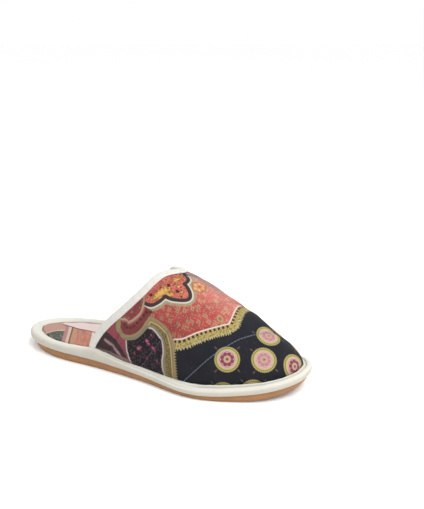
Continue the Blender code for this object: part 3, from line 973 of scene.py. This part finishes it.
def stroke_points(knots, spacing=1.2):
    """Points along a smooth curve through the charted ones."""
    knots = np.array(knots, float)
    padded = np.concatenate([2.0 * knots[:1] - knots[1:2], knots, 2.0 * knots[-1:] - knots[-2:-1]])
    points = []
    for i in range(len(knots) - 1):
        a, b, c, d = padded[i:i + 4]
        u = np.linspace(0.0, 1.0, max(int(np.linalg.norm(c - b) / spacing), 1), endpoint=False)[:, None]
        bend = 2.0 * a - 5.0 * b + 4.0 * c - d + u * (3.0 * (b - c) + d - a)
        points.append(b + 0.5 * u * (c - a + u * bend))
    return np.concatenate(points + [knots[-1:]])


def mm_from_strokes(points, strokes, sides=(-1.0, 1.0)):
    """Mm from points of the upper to charted strokes, on one or both sides, and mm along them."""
    nearest = np.full(len(points), 1.0e9)
    along = np.zeros(len(points))
    for side in sides:
        travelled = 0.0
        for knots in strokes:
            line = on_last(stroke_points(knots) * (1.0, side)) * 1000.0
            for start, end in zip(line[:-1], line[1:]):
                step = end - start
                length = max(float(np.linalg.norm(step)), 1e-6)
                share = np.clip((points - start) @ step / length ** 2, 0.0, 1.0)
                off = np.linalg.norm(points - start - share[:, None] * step, axis=1)
                closer = off < nearest
                nearest = np.where(closer, off, nearest)
                along = np.where(closer, travelled + share * length, along)
                travelled += length
    return nearest, along


def inside_outline(places, outline):
    found = np.zeros(len(places), bool)
    for (x1, y1), (x2, y2) in zip(outline, np.roll(outline, -1, axis=0)):
        crosses = (y1 > places[:, 1]) != (y2 > places[:, 1])
        if crosses.any():
            found ^= crosses & (places[:, 0] < (x2 - x1) * (places[:, 1] - y1) / (y2 - y1) + x1)
    return found


def chart_outline(piece, name, points, places, edge):
    """A field of mm from an outline of the print, less than 0 inside it."""
    distance, along = mm_from_strokes(points, edge)
    outline = [stroke_points(knots) for knots in edge]
    if name in CLOSING:
        outline.append(np.array(CLOSING[name], float))
    inside = inside_outline(places, np.concatenate(outline))
    set_field(piece, name, np.where(inside, -distance, distance))
    if name in MEASURED_ALONG:
        set_field(piece, name + "_along", along)


def chart_spots(piece, name, places, spots):
    """A field of mm from the edge of the nearest spot, less than 0 in it; near ones flow together."""
    pull = np.zeros(len(places))
    for x, arc, radius in spots:
        off = np.hypot(places[:, 0] - x, places[:, 1] - arc) - radius
        pull += np.exp(-SPOT_FLOW * np.minimum(off, 12.0))
    set_field(piece, name, -np.log(pull) / SPOT_FLOW)


def chart_roundels(piece, points, normals):
    """Fields of mm over, mm up and mm out from the middle of the nearest roundel."""
    nearest = np.full(len(points), 1.0e3)
    over = np.zeros(len(points))
    up = np.zeros(len(points))
    for centre in on_last(ROUNDELS) * 1000.0:
        away = points - centre
        off = np.linalg.norm(away, axis=1)
        facing = normals[np.argmin(off)]
        ahead = np.cross((0.0, 0.0, 1.0), facing)
        ahead /= np.linalg.norm(ahead)
        closer = off < nearest
        over = np.where(closer, away @ ahead, over)
        up = np.where(closer, away @ np.cross(facing, ahead), up)
        nearest = np.where(closer, off, nearest)
    for name, values in (("roundel_over", over), ("roundel_up", up), ("roundel_out", nearest)):
        set_field(piece, name, values)


def chart_print(piece, points, normals, x, arc):
    points = points.reshape(-1, 3) * 1000.0
    places = np.column_stack([x.reshape(-1), arc.reshape(-1)])
    half = np.column_stack([x.reshape(-1), np.abs(arc.reshape(-1))])
    for name, edge in OUTLINES.items():
        chart_outline(piece, name, points, half, edge)
    for name, strokes in LINES.items():
        set_field(piece, name, mm_from_strokes(points, strokes)[0])
    for name, spots in SPOTS.items():
        chart_spots(piece, name, half, spots)
    chart_spots(piece, "orange_petal", places, ORANGE_PETALS)
    chart_roundels(piece, points, normals.reshape(-1, 3))


class Print(Finish):
    """The printed cotton: flat tints laid over each other, each inside its own outline."""

    def __init__(self, name, roughness, sheen, specular):
        super().__init__(name, roughness, sheen, specular)
        self.chart = self.in_mm(self.add("UVMap"))
        self.x, self.arc, _ = self.axes(self.chart)
        self.down = self.work("ABSOLUTE", self.arc)

    def grain(self, scale, detail=2.0):
        return self.noise(self.chart, scale, detail)

    def strew(self, size, loose):
        """Distance from the nearest of many points of the cloth, in shares of their spacing."""
        spread = {"Vector": self.chart, "Scale": 1.0 / size, "Randomness": loose}
        return self.add("TexVoronoi", spread, voronoi_dimensions="2D")

    def specks(self, size, radius, share):
        """Small round specks strewn evenly, about as far apart as their size says."""
        cell = self.strew(size, 0.8)
        kept = self.past(self.add("SeparateColor", {0: cell.node.outputs["Color"]}), 1.0 - share, 0.01)
        return self.times(self.inside(cell, radius / size, 0.3 / size), kept)

    def flowers(self, size, radius, petals):
        """Small flowers strewn over the cloth: their petals, and the eye in the middle of each."""
        cell = self.strew(size, 0.85)
        middle = cell.node.outputs["Position"]
        over, up, _ = self.axes(self.add("VectorMath", {0: self.chart, 1: middle}, operation="SUBTRACT"))
        out = self.times(cell, size)
        petal = self.work("COSINE", self.times(self.work("ARCTAN2", up, over), petals))
        edge = self.plus(out, petal, 0.35 * radius)
        return self.inside(edge, radius, 0.4), self.inside(out, 0.3 * radius, 0.3)

    def repeat(self, along, pitch):
        """From 0 to 1 and back once in each pitch."""
        return self.plus(0.5, self.work("COSINE", self.times(along, 2.0 * math.pi / pitch)), -0.5)


def dark_ground(ink):
    colour = ink.mix(ink.grain(0.05, 3.0), (20, 22, 29), (38, 38, 46))
    return ink.lay(colour, ((76, 74, 84), ink.specks(3.4, 0.45, 0.25), 0.25))


def roundels(ink, under):
    """Flowers in rings, from the eye out to the fringed gold rim, with four sprigs about each."""
    over = ink.field("roundel_over")
    up = ink.field("roundel_up")
    out = ink.times(ink.field("roundel_out"), 1.04)
    turn = ink.work("ARCTAN2", up, over)
    lobe = ink.work("ABSOLUTE", ink.work("SINE", ink.times(turn, 4.0)))
    scallop = ink.plus(out, lobe, -1.2)
    fringe = ink.work("COSINE", ink.times(turn, 40.0))
    column = ink.work("ABSOLUTE", ink.plus(-100.0, ink.x))
    magenta = ink.mix(ink.inside(column, 12.0, 6.0), (136, 56, 74), (184, 124, 128))
    rings = (
        (out, 1.1, (184, 148, 112)),
        (out, 2.2, (202, 166, 152)),
        (out, 2.9, magenta),
        (scallop, 4.9, (212, 182, 178)),
        (scallop, 5.7, (196, 148, 144)),
        (out, 6.8, (212, 188, 158)),
        (out, 7.6, (190, 172, 108)),
        (out, 8.7, (102, 92, 46)),
        (out, 9.2, (172, 160, 88)),
    )
    colour = (92, 78, 44)
    for distance, edge, tint in rings:
        colour = ink.mix(ink.past(distance, edge, 0.5), colour, tint)
    colour = ink.lay(
        colour,
        ((214, 178, 170), ink.inside(lobe, 0.12, 0.2), ink.between(out, 2.8, 4.4, 0.4), 0.4),
        (magenta, ink.between(scallop, 5.4, 6.1, 0.4), ink.inside(out, 6.7), 0.7),
        ((150, 92, 90), ink.past(fringe, 0.2, 0.5), ink.between(out, 6.9, 7.6, 0.4), 0.6),
    )
    corner = ink.plus(-SPRIG_OUT, ink.work("ABSOLUTE", over))
    height = ink.plus(-SPRIG_OUT, ink.work("ABSOLUTE", up))
    long_way = ink.times(ink.work("ADD", corner, height), 0.45)
    short_way = ink.work("SUBTRACT", corner, height)
    off = ink.work("SQRT", ink.work("ADD", ink.times(long_way, long_way), ink.times(short_way, short_way)))
    return ink.lay(
        under,
        ((148, 104, 100), ink.inside(off, 0.8, 0.9), 0.42),
        (colour, ink.inside(ink.plus(out, fringe, 0.25), 10.4, 0.5)),
    )


def gold_border(ink, under):
    """The white line, the row of dark ticks and the fringed gold band round the coral panel."""
    distance = ink.field("panel")
    along = ink.field("panel_along")
    gold = ink.lay(
        ink.mix(ink.past(ink.grain(0.9), 0.5, 0.25), (130, 112, 52), (200, 180, 106)),
        ((118, 100, 44), ink.specks(2.1, 0.6, 0.6), 0.7),
        ((188, 176, 128), ink.past(distance, 7.2, 0.8), 0.7),
    )
    threads = ink.plus(ink.plus(distance, ink.repeat(along, 1.9), 1.7), ink.grain(0.5, 3.0), 4.0)
    ticks = ink.past(ink.repeat(along, 3.6), 0.45, 0.3)
    return ink.lay(
        under,
        (gold, ink.inside(threads, 11.4, 0.9)),
        ((172, 150, 84), ink.between(distance, 1.0, 3.9, 0.4)),
        ((62, 50, 44), ticks, ink.between(distance, 1.3, 3.5, 0.5)),
        ((222, 204, 196), ink.inside(distance, 1.05, 0.4)),
    )


def coral_ground(ink):
    petals, eye = ink.flowers(7.2, 1.6, 4.0)
    colour = ink.lay(
        ink.mix(ink.grain(0.06), (182, 56, 52), (212, 84, 76)),
        ((130, 44, 40), ink.specks(1.9, 0.5, 0.55), 0.6),
        ((190, 152, 116), ink.specks(2.3, 0.55, 0.65), 0.8),
        ((122, 88, 60), ink.specks(3.1, 0.5, 0.5), 0.7),
        ((196, 164, 120), petals, 0.7),
        ((122, 56, 46), eye, 0.8),
        ((190, 162, 108), ink.inside("khaki_rosette", 0.0, 0.6), 0.85),
        ((140, 100, 64), ink.inside("khaki_rosette", -1.2, 0.5), 0.8),
    )
    # Painted shade: the coral is multiplied darker from 8 mm to 50 mm down from the ridge.
    colour = ink.mix(ink.fade(ink.down, 8.0, 50.0, 0.0, 0.42), colour, (110, 74, 70), "MULTIPLY")
    # Painted light: a pale pink laid over the coral near the ridge, fading out by 24 mm down.
    return ink.lay(colour, ((220, 176, 156), ink.fade(ink.down, 2.0, 24.0, 0.30, 0.0)))


def arched_medallion(ink, under):
    """The black band with its white edge by the collar, and the gold flowers inside it."""
    distance = ink.field("arched")
    grain = ink.grain(0.6)
    khaki = ink.lay(
        ink.mix(grain, (144, 136, 102), (180, 170, 134)),
        ((168, 92, 78), ink.specks(1.5, 0.45, 0.6), 0.6),
    )
    petals, eye = ink.flowers(6.4, 2.2, 5.0)
    petal = ink.plus(ink.plus(-2.0, ink.field("gold_petal")), grain, 3.6)
    gold = ink.mix(ink.past(ink.grain(0.45), 0.5, 0.1), (164, 118, 46), (216, 150, 64))
    heart = ink.lay(
        ink.mix(ink.grain(0.25), (170, 62, 60), (206, 98, 90)),
        ((212, 110, 84), petals, 0.75),
        ((206, 150, 88), ink.specks(1.8, 0.5, 0.55), 0.7),
        ((118, 44, 42), ink.specks(2.4, 0.5, 0.45), 0.7),
        ((86, 34, 32), eye, 0.9),
        ((140, 74, 36), ink.inside(petal, 0.75, 0.5)),
        (gold, ink.inside(petal, 0.2, 0.6)),
        ((224, 178, 92), ink.inside(petal, -0.8, 0.9), 0.7),
        ((80, 38, 34), ink.inside("dark_seed", 0.0, 0.6)),
    )
    return ink.lay(
        under,
        (khaki, ink.inside(ink.plus(distance, ink.grain(0.7), 3.0), 6.6, 1.2), 0.9),
        ((212, 202, 186), ink.inside(distance, 2.7, 0.5)),
        ((60, 52, 52), ink.inside(distance, 1.5, 0.4)),
        (heart, ink.inside(distance, -1.55, 0.4)),
    )


def leaf_scroll(ink, under):
    """The crimson leaf with its row of dark seeds and its cream line."""
    leaf = ink.field("leaf")
    body = ink.lay(
        ink.mix(ink.grain(0.2), (104, 36, 38), (138, 64, 60)),
        ((190, 108, 98), ink.between(leaf, 1.0, 2.2, 0.8), 0.5),
        ((84, 38, 42), ink.inside("dark_seed", -0.1, 0.6)),
    )
    pink = ink.lay(
        ink.mix(ink.grain(0.3), (122, 40, 48), (156, 68, 66)),
        ((148, 130, 84), ink.specks(3.4, 0.9, 0.4), 0.7),
    )
    line = ink.times(ink.between(leaf, -1.0, 1.0, 0.4), ink.inside("border", 40.0))
    return ink.lay(
        under,
        (body, ink.inside("body")),
        (pink, ink.inside(leaf, -0.8)),
        ((176, 146, 120), line, ink.inside(ink.work("ABSOLUTE", leaf), 1.0, 0.4)),
    )


def khaki_border(ink, under):
    """The double khaki band, fringed on the dark ground, and the dark flowered patch inside it."""
    distance = ink.field("border")
    grain = ink.grain(0.8)
    khaki = ink.lay(
        ink.mix(ink.past(grain, 0.5, 0.3), (92, 80, 42), (138, 122, 74)),
        ((92, 84, 44), ink.specks(1.7, 0.45, 0.6), 0.6),
        ((182, 158, 104), ink.past(distance, -4.2, 0.5)),
        ((132, 98, 58), ink.past(distance, -3.1, 0.4)),
        (ink.mix(grain, (132, 114, 78), (162, 142, 102)), ink.past(distance, -2.5, 0.4)),
        ((132, 122, 96), ink.inside("patch", 2.6, 0.6)),
    )
    threads = ink.plus(ink.plus(-2.0, distance), ink.repeat(ink.field("border_along"), 2.3), 1.6)
    threads = ink.plus(threads, grain, 1.8)
    edge = ink.add("Mix", {0: ink.past("panel", 0.0, 0.5), 2: distance, 3: threads})
    petal = ink.plus(ink.plus(-0.7, ink.field("pink_flower")), grain, 1.4)
    floral = ink.lay(
        ink.mix(ink.grain(0.12), (24, 20, 24), (42, 33, 39)),
        ((92, 66, 78), ink.specks(2.2, 0.65, 0.5), 0.6),
        ((92, 90, 78), ink.specks(2.9, 0.6, 0.4), 0.55),
        ((106, 40, 66), ink.inside(petal, 0.4, 0.7)),
        ((168, 98, 122), ink.inside(petal, -0.6, 0.5)),
    )
    return ink.lay(
        under,
        (khaki, ink.inside(edge, 0.0, 0.6)),
        (floral, ink.inside("patch")),
        ((198, 180, 176), ink.inside("pale_line", 0.65, 0.5)),
    )


def crimson_strip(ink, under):
    """The crimson strip up the waist, and the dark corner behind it with its pale streaks."""
    grain = ink.grain(0.3)
    corner = ink.lay(
        ink.mix(grain, (38, 32, 34), (74, 52, 56)),
        ((96, 50, 64), ink.inside("streak", 2.2, 1.6), 0.7),
        ((172, 140, 146), ink.inside("streak", 1.2, 1.3), 0.8),
        ((84, 50, 56), ink.inside("above_seam", 5.6, 0.8), 0.6),
        ((134, 110, 100), ink.inside("above_seam", 4.2, 0.8), 0.75),
    )
    crimson = ink.lay(
        ink.mix(grain, (126, 42, 56), (164, 74, 84)),
        ((104, 66, 76), ink.fade(ink.down, 72.0, 90.0, 0.0, 0.75)),
    )
    return ink.lay(
        under,
        (corner, ink.inside(ink.x, -8.0, 0.3)),
        (crimson, ink.inside("strip"), ink.inside(ink.x, -5.0)),
    )


def ridge_band(ink, under):
    """The mauve band that runs down the far side of the ridge from the throat."""
    mauve = ink.mix(ink.grain(0.6), (128, 100, 104), (176, 148, 138))
    end = ink.fade(ink.x, 44.0, 60.0, 0.9, 0.0)
    return ink.lay(under, (mauve, ink.between(ink.arc, 1.6, 14.0, 1.2), end))


def quilting_thread(ink, under):
    """The thread lying in the quilting channels, and the shade at their sides."""
    slant = math.hypot(1.0, QUILT_LEAN)
    line = ink.plus(ink.plus(-QUILT_START, ink.x), ink.arc, -QUILT_LEAN)
    turn = ink.work("FRACT", ink.plus(0.5, line, 1.0 / QUILT_STEP))
    off = ink.times(ink.work("ABSOLUTE", ink.plus(-0.5, turn)), QUILT_STEP / slant)
    colour = ink.mix(ink.times(ink.inside(off, 1.3, 1.6), 0.14), under, (90, 84, 88), "MULTIPLY")
    along = ink.plus(ink.arc, ink.x, QUILT_LEAN)
    stitches = ink.past(ink.repeat(along, QUILT_STITCH * slant), 0.08, 0.1)
    dark = ink.times(ink.past("panel", 0.0, 0.5), ink.past("border", 0.0, 0.5))
    dark = ink.work("MAXIMUM", dark, ink.times(ink.inside("patch"), 0.4))
    seen = ink.plus(0.10, dark, 0.38)
    return ink.lay(colour, ((126, 138, 154), ink.inside(off, 0.36, 0.3), stitches, seen))


def print_cotton():
    ink = Print("printed_cotton_face", 0.82, sheen=0.03, specular=0.15)
    colour = gold_border(ink, roundels(ink, dark_ground(ink)))
    colour = ink.lay(colour, (coral_ground(ink), ink.inside("panel")))
    for motif in (arched_medallion, crimson_strip, khaki_border, leaf_scroll):
        colour = motif(ink, colour)
    colour = ink.lay(
        colour,
        ((150, 88, 60), ink.inside("orange_petal", 0.9, 0.8), 0.8),
        ((206, 140, 84), ink.inside("orange_petal", 0.1, 0.6)),
        ((222, 178, 126), ink.inside("orange_petal", -0.9, 0.6)),
    )
    colour = quilting_thread(ink, ridge_band(ink, colour))
    ink.colour(ink.add("HueSaturation", {"Saturation": 0.93, "Value": 0.68, "Color": colour}))
    ink.woven(ink.x, ink.arc, WEAVE_PITCH, 0.2, ink.grain(0.35, 3.0), 0.00016)
    return ink.material


def lining_cotton():
    finish = Finish("plain_lining", 0.9, sheen=0.1, specular=0.2)
    place = finish.place()
    finish.colour(finish.mix(finish.noise(place, 80.0), (214, 206, 188), (226, 219, 203)))
    finish.bump(finish.noise(place, 1200.0), 0.00012)
    return finish.material


def turn_up(piece, above=0.0):
    """Turns a piece's faces round if those above a height look down."""
    if sum(p.normal.z * p.area for p in piece.data.polygons if p.center.z > above) < 0.0:
        piece.data.flip_normals()


def thicken(piece, name, thickness, offset, inner_material=0):
    """Gives a surface its wall, which lies inside it at -1 and half on each side at 0."""
    wall = piece.modifiers.new(name, "SOLIDIFY")
    wall.thickness = thickness
    wall.offset = offset
    wall.use_even_offset = True
    wall.material_offset = inner_material
    bpy.context.view_layer.objects.active = piece
    bpy.ops.object.modifier_apply(modifier=name)


share, across = upper_grid(UPPER_STEPS, UPPER_ROWS)
foot_share = share[:, 0]
foot_drop = SPRING_LINE - read_table(SEAM, foot_share) / 1000.0 + GAP
foot_drop = np.maximum(foot_drop, 0.0) + TUCK
tuck = np.linspace(1.0, 0.0, TUCK_ROWS + 1)[:-1]
drop = np.concatenate([foot_drop[:, None] * tuck[None, :], np.zeros(share.shape)], axis=1)
share = np.concatenate([np.repeat(share[:, :1], TUCK_ROWS, axis=1), share], axis=1)
across = np.concatenate([np.repeat(across[:, :1], TUCK_ROWS, axis=1), across], axis=1)
upness = np.concatenate([np.zeros(TUCK_ROWS), np.linspace(0.0, 1.0, UPPER_ROWS + 1)])[None, :]
chart_x = place_x(share) * 1000.0
chart_arc = arc_at(share, across)
chart_arc = chart_arc + np.sign(chart_arc) * drop * 1000.0
point, normal = last_frame(np.minimum(share, UPPER_TOE - 0.0008), across)[:2]
point = last_surface(share, across, drop)
creased = crease_relief(point.reshape(-1, 3) * 1000.0).reshape(chart_x.shape)
creased = creased * ramp(1.0 - upness, 0.0, COLLAR_FADE) * ramp(upness, 0.0, CREASE_FADE)
face = point + normal * ((relief(chart_x, chart_arc, upness) + creased) / 1000.0)[..., None]
chart = np.stack([chart_x, chart_arc], axis=-1) / 1000.0
upper = lay_grid("quilted_upper", face, chart)
set_field(upper, "above_seam", np.abs(chart_arc[:, :1]) - TUCK * 1000.0 - np.abs(chart_arc))
chart_print(upper, point, normal, chart_x, chart_arc)
close_seams(upper, turn_out=False)
upper.data.materials.append(print_cotton())
upper.data.materials.append(lining_cotton())
turn_up(upper)
thicken(upper, "Quilted wall", UPPER_WALL, offset=-1.0, inner_material=1)
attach(upper, "root")
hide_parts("upper")


# Collar binding
# A cream cotton tape with a thin cord in it, folded over the free edge of the upper and sewn
# through. Its two ends are caught in the seam at the sole.
TAPE_LEG = 0.0042
TAPE_WIDENING = 0.12
TAPE_THICKNESS = 0.0010
TAPE_GAP = 0.00035
TAPE_TAIL = 0.0050
TAPE_CROWN = 0.0006
TAPE_EDGE_PRESS = 0.0004
TAPE_WRINKLE = 0.00018
TAPE_STEPS = 260
fold = UPPER_WALL / 2.0 + TAPE_GAP + TAPE_THICKNESS / 2.0


def tape_rise(leg):
    """Rise of the tape over the middle of the wall: leg is 0 at its fold and 1 at its edge."""
    return fold + TAPE_CROWN * (1.0 - (2.0 * leg - 1.0) ** 4) - TAPE_EDGE_PRESS * leg ** 6


def step_along(share, across, move, along, over):
    """Point and normal of the last a short way from a place on it."""
    change = np.zeros((len(share), 2))
    for i in range(len(share)):
        pair = np.column_stack([along[i], over[i]])
        change[i] = np.linalg.lstsq(pair, move[i], rcond=None)[0]
    return last_frame(share + change[:, 0], across + change[:, 1])[:2]


across = np.linspace(-COLLAR_END, COLLAR_END, TAPE_STEPS + 1)
share = collar_share(across)
point, normal, along, over = last_frame(share, across)
run = np.gradient(point, axis=0)
run /= np.linalg.norm(run, axis=1)[:, None]
forward = np.cross(normal, run)
forward *= np.sign(forward[:, :1])
legs = np.linspace(1.0, 0.0, 9)[:-1]
profile = [(TAPE_LEG * leg, tape_rise(leg)) for leg in legs]
for angle in np.radians(np.linspace(90.0, 270.0, 15)):
    profile.append((fold * math.cos(angle) - GAP, fold * math.sin(angle)))
profile += [(reach, -rise) for reach, rise in profile[7::-1]]
distance = np.concatenate([[0.0], np.cumsum(np.linalg.norm(np.diff(point, axis=0), axis=1))])
turns = distance * 2.0 * math.pi
wrinkle = TAPE_WRINKLE * np.sin(turns / 0.0093) * np.sin(turns / 0.031 + 0.5)
widened = 1.0 + TAPE_WIDENING * np.exp(-(across / 0.35) ** 2)[:, None]
rows = []
cloth = []
travel = 0.0
last_place = profile[0]
for reach, rise in profile:
    spot, facing = step_along(share, across, forward * max(reach, 0.0) * widened, along, over)
    swell = np.sign(rise) * wrinkle * (1.0 if reach < 0.8 * TAPE_LEG else 0.0)
    row = spot + forward * min(reach, 0.0) + facing * (rise + swell - UPPER_WALL / 2.0)[:, None]
    tails = TAPE_TAIL * run
    rows.append(np.concatenate([row[:1] - tails[:1], row, row[-1:] + tails[-1:]]))
    travel += math.hypot(reach - last_place[0], rise - last_place[1])
    last_place = (reach, rise)
    ends = np.concatenate([[-TAPE_TAIL], distance, distance[-1:] + TAPE_TAIL])
    cloth.append(np.column_stack([ends, np.full(len(ends), travel)]))
collar = lay_grid("collar_tape", rows, cloth)
close_seams(collar, turn_out=False)
turn_up(collar, above=0.07)
thicken(collar, "Tape", TAPE_THICKNESS, offset=0.0)
# The last colour is the painted top light on the tape's upward faces.
collar.data.materials.append(cream_cotton(
    "cream_collar_tape", (182, 178, 172), (202, 199, 195), (196, 194, 190)))
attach(collar, "root")
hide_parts("collar_binding")


# Collar stitching
# One row of cream cotton thread on each side of the tape, sewn through both its legs and the
# wall between them. Each stitch lies on the cloth and dips at its ends.
STITCH_LENGTH = 0.0025
STITCH_PITCH = 0.0036
STITCH_RADIUS = 0.00030
STITCH_INSET = 0.0012


def thread_cotton():
    finish = Finish("sewing_thread", 0.7, sheen=0.1, specular=0.25)
    place = finish.place()
    finish.colour(finish.mix(finish.noise(place, 900.0), (176, 168, 150), (206, 200, 184)))
    finish.bump(finish.noise(place, 2600.0), 0.00005)
    return finish.material


def sew(name, places, runs, facings, thread):
    """One stitch, copied along a row of places and joined into one piece."""
    bpy.ops.object.select_all(action="DESELECT")
    bpy.ops.mesh.primitive_uv_sphere_add(segments=8, ring_count=6, radius=1.0)
    stitch = bpy.context.object
    stitch.data.materials.append(thread)
    bpy.ops.object.shade_smooth()
    stitches = [stitch]
    for _ in places[1:]:
        copy = stitch.copy()
        copy.data = stitch.data.copy()
        bpy.context.collection.objects.link(copy)
        stitches.append(copy)
    for one, place, run, facing in zip(stitches, places, runs, facings):
        run = Vector(run).normalized()
        facing = Vector(facing)
        facing = (facing - run * facing.dot(run)).normalized()
        side = facing.cross(run)
        turn = Matrix((
            run * STITCH_LENGTH / 2.0,
            side * STITCH_RADIUS,
            facing * STITCH_RADIUS,
        )).transposed().to_4x4()
        one.data.transform(Matrix.Translation(Vector(place)) @ turn)
        one.select_set(True)
    bpy.context.view_layer.objects.active = stitch
    bpy.ops.object.join()
    stitch.name = name
    stitch.data.name = name
    return stitch


def along_row(row, distance, stops):
    return np.column_stack([np.interp(stops, distance, row[:, k]) for k in range(3)])


thread = thread_cotton()
leg = TAPE_LEG - STITCH_INSET
rise = tape_rise(leg / TAPE_LEG)
spot, facing = step_along(share, across, forward * leg * widened, along, over)
stops = np.arange(distance[0] + STITCH_PITCH, distance[-1] - STITCH_PITCH, STITCH_PITCH)
for name, side in (("collar_stitches", 1.0), ("lining_side_stitches", -1.0)):
    row = spot + facing * (side * (rise + TAPE_THICKNESS / 2.0) - UPPER_WALL / 2.0)
    stitches = sew(name, along_row(row, distance, stops), along_row(run, distance, stops),
                   along_row(facing * side, distance, stops), thread)
    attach(stitches, "root")
